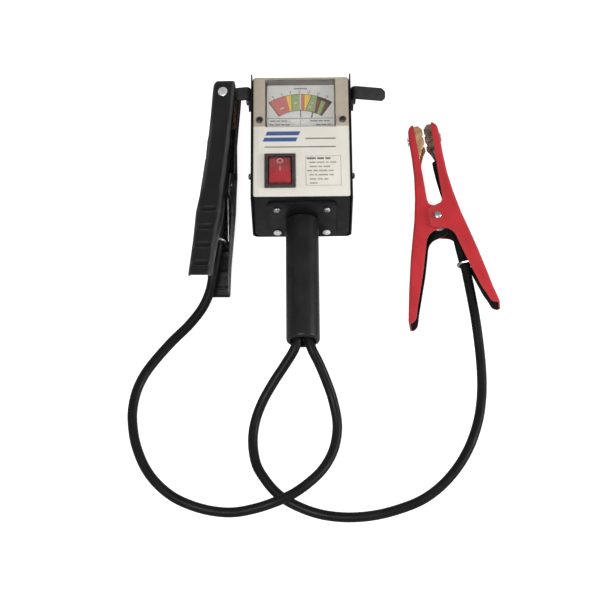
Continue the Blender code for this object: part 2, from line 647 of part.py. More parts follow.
def switch():
    """Bezel and body in one moulding, the rocker in its well and two blades below."""
    body_centre = CASE_HEIGHT - SWITCH_BODY_DEPTH / 2 + GAP
    body = block("switch_body", (BEZEL_WIDTH, BEZEL_LENGTH, BEZEL_HEIGHT),
                 (SWITCH_X, SWITCH_Y, CASE_HEIGHT + GAP + BEZEL_HEIGHT / 2), "case_black",
                 bevel=0.5 * MM)
    trunk = block("switch_trunk", (SWITCH_BODY_WIDTH, SWITCH_BODY_LENGTH,
                                   SWITCH_BODY_DEPTH + BEZEL_HEIGHT / 2),
                  (SWITCH_X, SWITCH_Y, body_centre + BEZEL_HEIGHT / 4), None)
    well_floor = CASE_HEIGHT - SWITCH_FLOOR_DEPTH
    well_top = CASE_HEIGHT + 2 * BEZEL_HEIGHT
    well = block("switch_well", (ROCKER_WIDTH + 2 * ROCKER_CLEARANCE,
                                 ROCKER_LENGTH + 2 * ROCKER_CLEARANCE, well_top - well_floor),
                 (SWITCH_X, SWITCH_Y, (well_top + well_floor) / 2), None)
    cut(body, trunk, operation="UNION")
    cut(body, well)

    end = ROCKER_LENGTH / 2
    keel = 6.6 * MM
    shoulder = 0.5 * (ROCKER_END + ROCKER_DISH) - 0.3 * MM
    section = [(-end, ROCKER_END), (-end, -2.4 * MM), (-end / 2, -keel), (end / 2, -keel),
               (end, -2.4 * MM), (end, ROCKER_END), (end / 2, shoulder), (0.0, ROCKER_DISH),
               (-end / 2, shoulder)]
    hinge = bpy.data.objects.new("rocker_axis", None)
    hinge.location = (SWITCH_X, SWITCH_Y, CASE_HEIGHT)
    hinge.rotation_euler = (radians(-ROCKER_TILT), 0, 0)
    PARTS.objects.link(hinge)
    sheet("switch_rocker", section, ROCKER_WIDTH, "rocker_red", (0, 0, 0),
          (radians(90), 0, radians(90)), parent=hinge)

    body_bottom = CASE_HEIGHT + GAP - SWITCH_BODY_DEPTH
    for side, label in ((-1, "near"), (1, "far")):
        block(f"switch_terminal_{label}", (TERMINAL_WIDTH, TERMINAL_SHEET, TERMINAL_LENGTH),
              (SWITCH_X, SWITCH_Y + side * TERMINAL_PITCH / 2,
               body_bottom - GAP - TERMINAL_LENGTH / 2), "brass")


CERAMIC_TOP = SHEET + GAP + CERAMIC_HEIGHT
LOAD_LEG_Z = CERAMIC_TOP + GAP + LOAD_WIRE_RADIUS
LOAD_AXIS_Z = LOAD_LEG_Z + LOAD_COIL_RADIUS


def load_coil(name, x):
    """A helix along Y whose straight ends lie on the ceramic bars."""
    half = CERAMIC_SPACING / 2 - CERAMIC_WIDTH
    end = CERAMIC_SPACING / 2 + CERAMIC_WIDTH / 2
    points = [(x, -end, LOAD_LEG_Z)]
    steps = LOAD_COIL_TURNS * 8
    for step in range(steps + 1):
        angle = 2 * pi * LOAD_COIL_TURNS * step / steps - pi / 2
        points.append((x + LOAD_COIL_RADIUS * cos(angle), -half + 2 * half * step / steps,
                       LOAD_AXIS_Z + LOAD_COIL_RADIUS * sin(angle)))
    points.append((x, end, LOAD_LEG_Z))
    return wire(name, points, LOAD_WIRE_RADIUS, "nichrome")


def load():
    """Two resistance coils in series on ceramic bars, under a heat shield."""
    for side, label in ((-1, "near"), (1, "far")):
        block(f"ceramic_bar_{label}", (CERAMIC_LENGTH, CERAMIC_WIDTH, CERAMIC_HEIGHT),
              (0, side * CERAMIC_SPACING / 2, CERAMIC_TOP - CERAMIC_HEIGHT / 2), "ceramic")
    load_coil("load_coil_left", -LOAD_COIL_X)
    load_coil("load_coil_right", LOAD_COIL_X)
    bar_bottom = LOAD_LEG_Z + LOAD_WIRE_RADIUS + GAP
    block("bus_bar", (2 * LOAD_COIL_X + CERAMIC_WIDTH, CERAMIC_WIDTH, BUS_SHEET),
          (0, CERAMIC_SPACING / 2, bar_bottom + BUS_SHEET / 2), "brass")
    half = SHIELD_WIDTH / 2
    foot = SHEET + GAP
    shield = [(-half, foot), (-half, SHIELD_Z), (half, SHIELD_Z), (half, foot),
              (half - SHIELD_SHEET, foot), (half - SHIELD_SHEET, SHIELD_Z - SHIELD_SHEET),
              (-half + SHIELD_SHEET, SHIELD_Z - SHIELD_SHEET), (-half + SHIELD_SHEET, foot)]
    sheet("heat_shield", shield, SHIELD_LENGTH, "steel", (0, SHIELD_Y, 0), (radians(90), 0, 0))


def leads():
    """Heavy leads from the handle through the switch to the load, and the meter's thin leads."""
    start_y = CORD_START_Y + GAP
    coil_end = -CERAMIC_SPACING / 2 - CERAMIC_WIDTH / 2
    lead_z = LOAD_LEG_Z + LOAD_WIRE_RADIUS + GAP + LEAD_RADIUS
    inside_y = NEAR_Y + 6 * MM
    negative = [(-CORD_APART, start_y, HANDLE_Z), (-CORD_APART, inside_y - 6 * MM, HANDLE_Z),
                (-CORD_APART - 4 * MM, inside_y - MM, HANDLE_Z - 4 * MM),
                (-LOAD_COIL_X, inside_y + MM, lead_z + 5 * MM),
                (-LOAD_COIL_X, coil_end + 3 * MM, lead_z), (-LOAD_COIL_X, coil_end + 8 * MM, lead_z)]
    wire("lead_negative", smooth_path(negative, 8 * MM), LEAD_RADIUS, "cable_black")
    blade_z = CASE_HEIGHT + GAP - SWITCH_BODY_DEPTH - GAP - TERMINAL_LENGTH / 2
    near_blade_y = SWITCH_Y - TERMINAL_PITCH / 2
    blade_x = SWITCH_X + TERMINAL_WIDTH / 2 + GAP
    positive = [(CORD_APART, start_y, HANDLE_Z), (CORD_APART, inside_y - 5 * MM, HANDLE_Z),
                (CORD_APART, inside_y + 3 * MM, HANDLE_Z + 4 * MM),
                (blade_x + 8 * MM, near_blade_y + MM, blade_z), (blade_x, near_blade_y, blade_z)]
    wire("lead_positive", smooth_path(positive, 8 * MM), LEAD_RADIUS, "wire_red")
    far_blade_y = SWITCH_Y + TERMINAL_PITCH / 2
    switched = [(blade_x, far_blade_y, blade_z), (blade_x + 8 * MM, far_blade_y, blade_z),
                (8 * MM, far_blade_y - 8 * MM, blade_z - 2 * MM),
                (LOAD_COIL_X + 2 * MM, -CERAMIC_SPACING / 2, SHIELD_Z - 4 * MM),
                (LOAD_COIL_X, -CERAMIC_SPACING / 2 - 2 * MM, lead_z + 5 * MM),
                (LOAD_COIL_X, -CERAMIC_SPACING / 2, lead_z),
                (LOAD_COIL_X, -CERAMIC_SPACING / 2 + 3 * MM, lead_z)]
    wire("lead_switched", smooth_path(switched, 7 * MM), LEAD_RADIUS, "wire_red")
    sense_z = METER_FLOOR - GAP - SENSE_RADIUS
    bar_z = LOAD_LEG_Z + LOAD_WIRE_RADIUS + BUS_SHEET + 2 * GAP + SENSE_RADIUS
    behind_shield = SHIELD_Y + SHIELD_LENGTH / 2 + 1.6 * MM
    to_bar = [(-8 * MM, 20 * MM, sense_z), (-8 * MM, 40 * MM, sense_z - 2 * MM),
              (-8 * MM, behind_shield, SHIELD_Z + 4 * MM), (-8 * MM, behind_shield, SHIELD_Z - 8 * MM),
              (-8 * MM, behind_shield - MM, bar_z + 4 * MM),
              (-8 * MM, CERAMIC_SPACING / 2 + 3 * MM, bar_z), (-8 * MM, CERAMIC_SPACING / 2, bar_z)]
    wire("sense_lead_negative", smooth_path(to_bar, 7 * MM), SENSE_RADIUS, "cable_black")
    sense_end = SWITCH_X - TERMINAL_WIDTH / 2 - GAP
    to_blade = [(WINDOW_X, 2 * MM, sense_z), (WINDOW_X - 8 * MM, -6 * MM, sense_z - MM),
                (sense_end - 6 * MM, far_blade_y + 6 * MM, blade_z + MM),
                (sense_end - 3 * MM, far_blade_y, blade_z), (sense_end, far_blade_y, blade_z)]
    wire("sense_lead_positive", smooth_path(to_blade, 7 * MM), SENSE_RADIUS, "wire_red")


# The arms, as (distance toward the jaws, distance from the clamp's middle) in mm
ARM_WEB = [(90.0, 9.8), (88.6, 11.6), (85.0, 12.9), (78.0, 13.4), (60.0, 13.4), (40.0, 14.2),
           (20.0, 16.5), (0.0, 20.0), (-15.0, 23.6), (-35.0, 28.2), (-60.0, 33.2), (-80.0, 36.6),
           (-90.0, 38.2), (-92.0, 38.0)]
ARM_LIP = [(90.0, 7.6), (60.0, 7.0), (40.0, 6.6), (16.0, 6.5), (12.4, 5.4), (10.4, 2.8),
           (9.4, -2.0), (8.4, -5.6), (6.0, -7.0), (-8.0, -7.0), (-10.4, -5.4), (-11.6, -1.6),
           (-12.2, 3.4), (-13.8, 7.4), (-17.0, 10.6), (-21.0, 12.4), (-25.0, 13.3),
           (-45.0, 18.4), (-67.0, 25.0), (-80.0, 29.0), (-84.0, 31.6), (-89.0, 33.6),
           (-92.0, 36.4)]
ARM_WIDTH = [(90.0, CLAMP_WIDTH_JAW / MM - 3.0), (88.0, CLAMP_WIDTH_JAW / MM - 0.6),
             (84.0, CLAMP_WIDTH_JAW / MM), (40.0, CLAMP_WIDTH_JAW / MM),
             (14.0, CLAMP_WIDTH_PIVOT / MM), (-16.0, CLAMP_WIDTH_PIVOT / MM),
             (-60.0, CLAMP_WIDTH_HANDLE / MM), (-92.0, CLAMP_WIDTH_HANDLE / MM)]
JAW_LIP = [(89.2, 3.4), (84.5, 0.2), (79.2, 0.2), (78.5, 2.9), (74.4, 0.2), (71.0, 0.2),
           (66.0, 3.2), (60.0, 5.4), (56.0, 6.6)]


def arm_half_width(t, nest):
    """Half the outer width of an arm at t mm; the nested arm is narrower round the ears."""
    half = between(ARM_WIDTH, t) / 2
    blend = min(1.0, max(0.0, (34.0 - abs(t)) / 16.0))
    return half - nest * blend


def web_dip(t):
    """How far the middle of the web is pressed in at t mm: the trough, then the grip grooves."""
    if -21.0 <= t <= 56.0:
        ramp = min(1.0, (56.0 - t) / 4.0, (t + 21.0) / 4.0)
        return TROUGH_DEPTH * max(0.0, ramp)
    for index in range(GROOVE_COUNT):
        middle = (GROOVE_FIRST - index * GROOVE_PITCH) / MM
        if abs(t - middle) < 0.8:
            return GROOVE_DEPTH
    return 0.0


def arm_stations():
    stations = [t for t, _ in ARM_LIP] + [88.6, 85.0, 78.0, 56.0, 52.0, 20.0, 0.0]
    for index in range(GROOVE_COUNT):
        middle = (GROOVE_FIRST - index * GROOVE_PITCH) / MM
        stations += [middle + 2.2, middle, middle - 2.2]
    ordered = []
    for t in sorted(stations, reverse=True):
        if not ordered or ordered[-1] - t > 0.5:
            ordered.append(t)
    return ordered


def channel(name, rows, thickness, finish_name, parent, rotation):
    """A folded sheet: rows of points from lip to lip, given thickness inward."""
    bm = bmesh.new()
    grid = [[bm.verts.new(point) for point in row] for row in rows]
    for upper, lower in zip(grid, grid[1:]):
        for index in range(len(upper) - 1):
            bm.faces.new((upper[index], upper[index + 1], lower[index + 1], lower[index]))
    bmesh.ops.recalc_face_normals(bm, faces=bm.faces)
    obj = from_bmesh(name, bm, finish_name, rotation=rotation, parent=parent)
    wall = obj.modifiers.new("wall", "SOLIDIFY")
    wall.thickness = thickness
    wall.offset = -1.0
    wall.use_even_offset = True
    return smooth(obj, 50.0)


def channel_row(t, web, lip, half, bend, dip, side):
    """One cross-section, from the lip at +Z round the web to the lip at -Z."""
    bend = min(bend, 0.9 * (web - lip), 0.6 * half)
    row = [(lip, half)]
    for step in range(3):
        angle = radians(90 - 45 * step)
        row.append((web - bend + bend * cos(angle), half - bend + bend * sin(angle)))
    trough = min(TROUGH_HALF / MM, 0.8 * (half - bend))
    row.append((web - dip / MM, trough))
    row += [(x, -z) for x, z in reversed(row)]
    return [(side * x * MM, t * MM, z * MM) for x, z in row]


def arm(name, side, nest, turn, finish_name, parent):
    rows = []
    for t in arm_stations():
        rows.append(channel_row(t, between(ARM_WEB, t), between(ARM_LIP, t),
                                arm_half_width(t, nest), CLAMP_BEND / MM, web_dip(t), side))
    return channel(name, rows, CLAMP_SHEET, finish_name, parent, (0, 0, turn))


def jaw(name, side, turn, parent):
    """The copper insert: a toothed channel inside the end of an arm."""
    inset = (CLAMP_SHEET + GAP) / MM
    rows = []
    for t, lip in JAW_LIP:
        rows.append(channel_row(t, between(ARM_WEB, t) - inset - 0.4, lip,
                                arm_half_width(t, 0.0) - inset, CLAMP_BEND / MM - inset, 0.0, side))
    return channel(name, rows, JAW_SHEET, "copper", parent, (0, 0, turn))


def torsion_spring(name, parent, turn):
    """Coil round the pivot, with one leg pressing each handle apart."""
    turns = SPRING_TURNS
    half_length = turns * SPRING_PITCH / 2
    steps = round(turns * 8)
    leg_t = SPRING_LEG_END / MM
    web_inside = between(ARM_WEB, leg_t) * MM - CLAMP_SHEET - GAP - SPRING_WIRE - 0.6 * MM
    spread = Matrix.Rotation(turn, 3, "Z")
    first_leg = spread @ Vector((web_inside, SPRING_LEG_END, half_length))
    second_leg = spread.inverted() @ Vector((-web_inside, SPRING_LEG_END, -half_length))
    points = [tuple(first_leg)]
    for step in range(steps + 1):
        angle = 2 * pi * turns * step / steps
        points.append((SPRING_RADIUS * cos(angle), SPRING_RADIUS * sin(angle),
                       half_length - 2 * half_length * step / steps))
    points.append(tuple(second_leg))
    return wire(name, points, SPRING_WIRE, "steel", parent)


def cable_strap(name, parent, turn):
    """A wire loop over the cable, its ends on the web of the arm."""
    web = between(ARM_WEB, STRAP_Y / MM) * MM - CLAMP_SHEET - 2 * GAP - STRAP_WIRE
    loop = CORD_RADIUS + GAP + STRAP_WIRE
    points = [(-web, STRAP_Y, loop)]
    for step in range(7):
        angle = radians(90 - 30 * step)
        points.append((STRAP_CABLE_X + loop * cos(angle), STRAP_Y, loop * sin(angle)))
    points.append((-web, STRAP_Y, -loop))
    spread = Matrix.Rotation(turn, 3, "Z")
    return wire(name, [spread @ Vector(point) for point in points], STRAP_WIRE, "zinc", parent)


def clamp(label, finish_name, pivot, rotation, opening):
    """Two nested arms, pivot rivet, spring, copper jaws with their rivets, and the strap."""
    frame = bpy.data.objects.new(f"{label}_clamp", None)
    frame.rotation_mode = "YXZ"
    frame.location = pivot
    frame.rotation_euler = rotation
    PARTS.objects.link(frame)
    nest = CLAMP_NEST / 2 / MM
    for side, role, inward in ((1, "moving", nest), (-1, "cable", 0.0)):
        turn = -side * radians(opening)
        shell = arm(f"{label}_{role}_arm", side, inward, turn, finish_name, frame)
        insert = jaw(f"{label}_{role}_jaw", side, turn, frame)
        pin = rod(f"{label}_{role}_pin_cut", RIVET_SHANK + GAP, 60 * MM, (0, 0, 0), None,
                  parent=frame, sides=16)
        hole_x = side * 15 * MM
        turned_hole = Matrix.Rotation(turn, 3, "Z") @ Vector((hole_x, JAW_RIVET_Y, 0))
        hole = rod(f"{label}_{role}_jaw_cut", JAW_RIVET_SHANK + GAP, 20 * MM, turned_hole, None,
                   (0, radians(90), turn), frame, sides=12)
        cut(shell, pin, hole)
        cut(insert, hole)
        web = between(ARM_WEB, JAW_RIVET_Y / MM) * MM + GAP
        seat = Matrix.Rotation(turn, 3, "Z") @ Vector((side * web, JAW_RIVET_Y, 0))
        turned(f"{label}_{role}_jaw_rivet",
               rivet_profile(JAW_RIVET_HEAD, 2.0 * MM, JAW_RIVET_SHANK, 4.2 * MM), "zinc",
               seat, (0, side * radians(90), turn), frame, steps=12)

    half = CLAMP_WIDTH_PIVOT / 2 + GAP
    rivet = rivet_profile(RIVET_HEAD, RIVET_HEAD_HEIGHT, RIVET_SHANK, 2 * half)[:-1]
    rivet = [(radius, height + half) for radius, height in rivet]
    rivet += [(RIVET_HEAD, -half), (RIVET_HEAD, -half - 0.5 * RIVET_HEAD_HEIGHT),
              (0.6 * RIVET_HEAD, -half - RIVET_HEAD_HEIGHT), (0.0, -half - RIVET_HEAD_HEIGHT)]
    turned(f"{label}_pivot_rivet", rivet, "zinc", parent=frame, steps=16)
    torsion_spring(f"{label}_spring", frame, -radians(opening))
    cable_strap(f"{label}_cable_strap", frame, radians(opening))
    return frame


RED_ROTATION = (0.0, radians(180.0 - RED_ROLL), radians(RED_LEAN))
BLACK_ROTATION = (radians(BLACK_PITCH), -radians(90.0 + BLACK_ROLL), -radians(BLACK_LEAN))

# The cables' routes, in mm, from the handle's mouth to the handle end of each clamp
CORD_LOW = 4.3
RED_ROUTE = [(-5.0, -168.0, 34.1), (-7.8, -175.4, 32.0), (-14.4, -184.4, 26.4),
             (-24.6, -197.6, 18.4), (-33.6, -211.6, 10.8), (-39.4, -227.2, 6.0),
             (-41.0, -243.8, CORD_LOW), (-38.2, -261.4, CORD_LOW), (-31.0, -274.6, CORD_LOW),
             (-22.6, -285.0, CORD_LOW), (-12.0, -293.2, CORD_LOW), (3.5, -300.6, CORD_LOW),
             (19.2, -304.8, CORD_LOW), (37.5, -306.2, CORD_LOW), (57.8, -304.2, CORD_LOW),
             (77.9, -298.7, CORD_LOW), (94.5, -291.4, CORD_LOW), (109.4, -280.0, CORD_LOW),
             (122.4, -265.0, CORD_LOW), (132.5, -247.8, CORD_LOW), (139.8, -228.2, CORD_LOW),
             (143.5, -210.2, CORD_LOW), (145.0, -192.8, 4.4), (144.8, -175.6, 5.6),
             (143.4, -158.0, 8.0), (141.4, -140.7, 11.0), (139.2, -122.4, 13.6)]
BLACK_ROUTE = [(5.0, -168.0, 34.1), (7.6, -175.4, 32.0), (12.6, -184.0, 26.4),
               (18.6, -196.6, 18.4), (23.6, -210.0, 11.2), (26.8, -227.4, 6.2),
               (25.5, -242.5, CORD_LOW), (21.3, -255.4, 5.0), (13.9, -268.1, 7.6),
               (3.7, -279.2, 10.8), (-8.4, -288.8, 13.0), (-22.5, -295.6, 13.2),
               (-38.5, -300.2, 10.8), (-56.0, -302.0, 6.8), (-72.9, -300.0, 4.6),
               (-89.4, -295.2, CORD_LOW), (-104.6, -287.6, CORD_LOW), (-117.8, -276.0, CORD_LOW),
               (-127.6, -262.0, CORD_LOW), (-134.8, -243.8, CORD_LOW), (-138.0, -226.2, CORD_LOW),
               (-138.2, -212.4, CORD_LOW), (-135.4, -197.4, CORD_LOW), (-129.5, -183.4, CORD_LOW),
               (-120.5, -170.0, CORD_LOW), (-108.0, -154.6, 4.4), (-94.5, -140.6, 5.4),
               (-83.8, -127.6, 8.6), (-77.6, -115.6, 12.4), (-74.6, -104.0, 16.2)]
# Inside a clamp, in its own frame: along the cable arm, past the pivot, to the jaw
CLAMP_ROUTE = [(STRAP_CABLE_X / MM - 0.6, -50.0), (STRAP_CABLE_X / MM, -44.0), (-13.5, -22.0),
               (-13.2, 0.0), (-10.2, 18.0), (-8.0, 36.0), (-7.1, 48.0), (-7.0, 54.5)]


def cord(name, side, route, pivot, rotation, opening):
    """A cable from inside the handle, over the table, and along the arm of a clamp."""
    start = [Vector((side * CORD_APART, y, HANDLE_Z)) for y in (CORD_START_Y, CORD_START_Y - 10 * MM)]
    free = [Vector(point) * MM for point in route]
    frame = Euler(rotation, "YXZ").to_matrix()
    turn = Matrix.Rotation(radians(opening), 3, "Z")
    held = [pivot + frame @ (turn @ (Vector((x, y, 0.0)) * MM)) for x, y in CLAMP_ROUTE]
    return wire(name, smooth_path(start + free + held, CORD_STEP), CORD_RADIUS, "cable_black")


def red_clamp():
    return clamp("red", "clamp_red", RED_PIVOT, RED_ROTATION, RED_OPEN)


def black_clamp():
    return clamp("black", "clamp_black", BLACK_PIVOT, BLACK_ROTATION, BLACK_OPEN)


def cords():
    cord("cord_red", -1, RED_ROUTE, RED_PIVOT, RED_ROTATION, RED_OPEN)
    cord("cord_black", 1, BLACK_ROUTE, BLACK_PIVOT, BLACK_ROTATION, BLACK_OPEN)


clear_scene()
PARTS = new_collection("analogue_load_tester")
CUTTERS = new_collection("cutters")
front_panel()
rear_cover()
case_screws()
parking_tab("parking_tab_left", -1)
parking_tab("parking_tab_right", 1)
handle()
meter()
needle()
switch()
load()
leads()
red_clamp()
black_clamp()
cords()
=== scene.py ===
# Looks of the analogue battery load tester: finishes, prints, clamps, cables and studio.
import json
from math import cos, pi, radians, sin

import bmesh
import bpy
from mathutils import Euler, Matrix, Vector


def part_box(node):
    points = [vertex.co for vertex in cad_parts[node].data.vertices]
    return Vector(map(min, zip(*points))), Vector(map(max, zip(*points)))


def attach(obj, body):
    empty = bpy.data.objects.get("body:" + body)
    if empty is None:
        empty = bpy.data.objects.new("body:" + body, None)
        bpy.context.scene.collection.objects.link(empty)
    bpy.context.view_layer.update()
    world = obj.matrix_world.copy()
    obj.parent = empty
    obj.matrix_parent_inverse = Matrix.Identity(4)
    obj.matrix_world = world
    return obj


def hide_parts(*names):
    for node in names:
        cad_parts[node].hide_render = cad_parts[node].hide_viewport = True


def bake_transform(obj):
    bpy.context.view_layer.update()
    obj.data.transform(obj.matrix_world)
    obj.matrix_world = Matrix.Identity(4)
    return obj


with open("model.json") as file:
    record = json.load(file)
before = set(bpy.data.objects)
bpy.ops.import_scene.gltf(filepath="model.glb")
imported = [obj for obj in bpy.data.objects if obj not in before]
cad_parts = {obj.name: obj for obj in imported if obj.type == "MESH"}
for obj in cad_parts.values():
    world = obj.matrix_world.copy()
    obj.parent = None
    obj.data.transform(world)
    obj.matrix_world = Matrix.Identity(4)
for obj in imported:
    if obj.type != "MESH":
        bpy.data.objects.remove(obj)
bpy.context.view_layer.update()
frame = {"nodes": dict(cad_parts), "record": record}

MM = 0.001
SHARP = radians(35.0)              # bends above this stay hard edges
NODES = frame["nodes"]


# Camera, at the photograph's angle
CAMERA_AT = Vector((0.9, -738.8, 1364.5)) * MM
CAMERA_AIM = Vector((-2.3, -115.8, 0.0)) * MM
CAMERA_ROLL = -0.8                 # degrees
CAMERA_LENS = 108.05
SENSOR = 36.0

# Case
FACE_Z = 72.0 * MM
TAN_EDGE_Y = 9.0 * MM              # the tan end of the label stops here
LABEL_WORN = (37.6 * MM, 54.4 * MM)  # the label is darker past these, across and along
CREASE_X = 36.2 * MM               # faint line down the left of the label
SWITCH_AXIS = Vector((-17.6, -33.2, 72.0)) * MM
ROCKER_TILT = radians(-8.0)
ROCKER_LENGTH = 24.6               # this and the two heights above its axis in mm
ROCKER_END = 2.8
ROCKER_DISH = 1.4

# Meter: the scale is a band round the needle's axis, radii in mm
DIAL_CENTRE = Vector((-0.5, -3.5, 63.95)) * MM
DIAL_Z = 63.95 * MM
SCALE_INNER = 32.4
SCALE_OUTER = 47.6
SCALE_NEAR_Y = DIAL_CENTRE.y + SCALE_INNER * MM
SCALE_SPAN = (-33.0, 33.0)         # degrees right of the middle
SCALE_LINE = 0.45                  # width of the printed lines
SCALE_MARKS = {4: -27.0, 6: -18.0, 8: -9.4, 10: -1.0, 12: 8.0, 14: 17.0, 16: 26.0}
NUMERAL_SIZE = 2.9 * MM

# Clamps: pivot point and turn of each clamp's own frame (order YXZ)
RED_PIVOT = Vector((114.6, -50.0, 13.8)) * MM
RED_TURN = Euler((0.0, radians(173.0), radians(6.5)), "YXZ")
RED_OPEN = 0.0
BLACK_PIVOT = Vector((-68.6, -31.0, 45.5)) * MM
BLACK_TURN = Euler((radians(5.2), radians(-100.0), radians(-4.5)), "YXZ")
BLACK_OPEN = radians(1.3)
ARM_SHEET = 1.2                    # this and the rest of the clamps in mm
JAW_INSET = 1.5                    # of the jaw inside its arm
ARM_BEND = 2.4
ARM_NEST = 1.6
PIVOT_RIVET_Z = 11.55
JAW_RIVET_T = 78.5
JAW_RIVET = (4.0, 1.1, 4.2, 2.0)   # head's radius and height, length, shank's radius
PIVOT_RIVET = (3.3, 1.5, 2 * PIVOT_RIVET_Z, 2.4)

# Cables
CORD_RADIUS = 4.0 * MM
HANDLE_Z = 34.7
CORD_APART = 4.6
CORD_LOW = 4.3

# Studio: lights as (place in m, size in m, watts)
KEY_LIGHT = ((-0.32, -0.85, 1.35), 0.6, 15.6)
SIDE_LIGHT = ((1.35, -0.25, 0.60), 0.4, 11.0)
LIGHTS_AIM = (0, -0.1, 0)
WORLD_LIGHT = 0.34
FLOOR_GREY = 0.64
FLOOR_GLOW = 0.86                  # where the camera sees the floor, to make it white
FLOOR_Z = -0.0003


def linked(name, data):
    obj = bpy.data.objects.new(name, data)
    bpy.context.scene.collection.objects.link(obj)
    return obj


def camera():
    """A long lens on the photograph's line of sight."""
    data = bpy.data.cameras.new("camera")
    data.lens = CAMERA_LENS
    data.sensor_width = SENSOR
    data.clip_start = 0.05
    obj = linked("camera", data)
    look = (CAMERA_AIM - CAMERA_AT).to_track_quat("-Z", "Y").to_matrix()
    roll = Matrix.Rotation(radians(CAMERA_ROLL), 3, "Z")
    obj.matrix_world = Matrix.Translation(CAMERA_AT) @ (look @ roll).to_4x4()
    bpy.context.scene.camera = obj


def area_light(name, place, size, watts):
    data = bpy.data.lights.new(name, "AREA")
    data.shape = "DISK"
    data.size = size
    data.energy = watts
    obj = linked(name, data)
    obj.location = place
    line = Vector(LIGHTS_AIM) - Vector(place)
    obj.rotation_euler = line.to_track_quat("-Z", "Y").to_euler()


class Surface:
    """A Principled material and short names for the nodes that vary it."""

    def __init__(self, name, colour=(0.5, 0.5, 0.5), roughness=0.5, metallic=0.0, **sockets):
        self.material = bpy.data.materials.new(name)
        self.material.use_nodes = True
        self.tree = self.material.node_tree
        self.shader = self.tree.nodes["Principled BSDF"]
        self.set("Base Color", (*colour, 1.0))
        self.set("Roughness", roughness)
        self.set("Metallic", metallic)
        for socket, value in sockets.items():
            self.set(socket.replace("_", " "), value)
        self.heights = []

    def set(self, socket, value):
        if isinstance(value, bpy.types.NodeSocket):
            self.tree.links.new(value, self.shader.inputs[socket])
        else:
            self.shader.inputs[socket].default_value = value

    def node(self, kind, inputs=None, **settings):
        node = self.tree.nodes.new("ShaderNode" + kind)
        for key, value in settings.items():
            setattr(node, key, value)
        for key, value in (inputs or {}).items():
            if isinstance(value, bpy.types.NodeSocket):
                self.tree.links.new(value, node.inputs[key])
            else:
                node.inputs[key].default_value = value
        return node

    def place(self):
        return self.node("TexCoord").outputs["Object"]

    def axes(self):
        return self.node("SeparateXYZ", {0: self.place()}).outputs

    def stretched(self, scale):
        return self.node("Mapping", {0: self.place(), 3: scale}).outputs[0]

    def noise(self, scale, detail=3.0, rough=0.55, vector=None):
        return self.node("TexNoise", {"Vector": vector or self.place(), "Scale": scale,
                                      "Detail": detail, "Roughness": rough}).outputs["Fac"]

    def cells(self, scale):
        return self.node("TexVoronoi", {"Vector": self.place(), "Scale": scale}).outputs["Distance"]

    def math(self, operation, first, second=0.0):
        return self.node("Math", {0: first, 1: second}, operation=operation).outputs[0]

    def distance_along(self, start, direction):
        along = self.node("VectorMath", {0: self.place(), 1: direction}, operation="DOT_PRODUCT")
        return self.math("SUBTRACT", along.outputs["Value"], start.dot(direction))

    def span(self, value, low, high, out_low=0.0, out_high=1.0):
        return self.node("MapRange", {0: value, 1: low, 2: high, 3: out_low, 4: out_high},
                         interpolation_type="SMOOTHSTEP").outputs[0]

    def mix(self, share, first, second):
        colours = [value if isinstance(value, bpy.types.NodeSocket) else (*value, 1.0)
                   for value in (first, second)]
        return self.node("Mix", {0: share, 6: colours[0], 7: colours[1]},
                         data_type="RGBA").outputs[2]

    def satin(self, scale, low, high):
        """Roughness that drifts from low to high."""
        self.set("Roughness", self.span(self.noise(scale), 0.3, 0.7, low, high))

    def bump(self, height, depth, strength=1.0):
        """Adds a height field; depth in metres."""
        inputs = {"Height": height, "Distance": depth, "Strength": strength}
        if self.heights:
            inputs["Normal"] = self.heights[-1]
        self.heights.append(self.node("Bump", inputs).outputs[0])
        self.set("Normal", self.heights[-1])


def varied(surface, colour, share=0.12, scale=60.0):
    """The colour with soft lighter and darker patches."""
    dark = tuple(value * (1 - share) for value in colour)
    light = tuple(min(1.0, value * (1 + share)) for value in colour)
    return surface.mix(surface.span(surface.noise(scale), 0.3, 0.7), dark, light)


def simple(name, colour, patches, satin, grain, detail=3.0, pored=False, metallic=0.0):
    """Patches (share, scale), satin (scale, low, high) and grain (scale, depth, strength)."""
    surface = Surface(name, metallic=metallic)
    surface.set("Base Color", varied(surface, colour, *patches))
    surface.satin(*satin)
    scale, depth, strength = grain
    surface.bump(surface.cells(scale) if pored else surface.noise(scale, detail), depth, strength)
    return surface.material


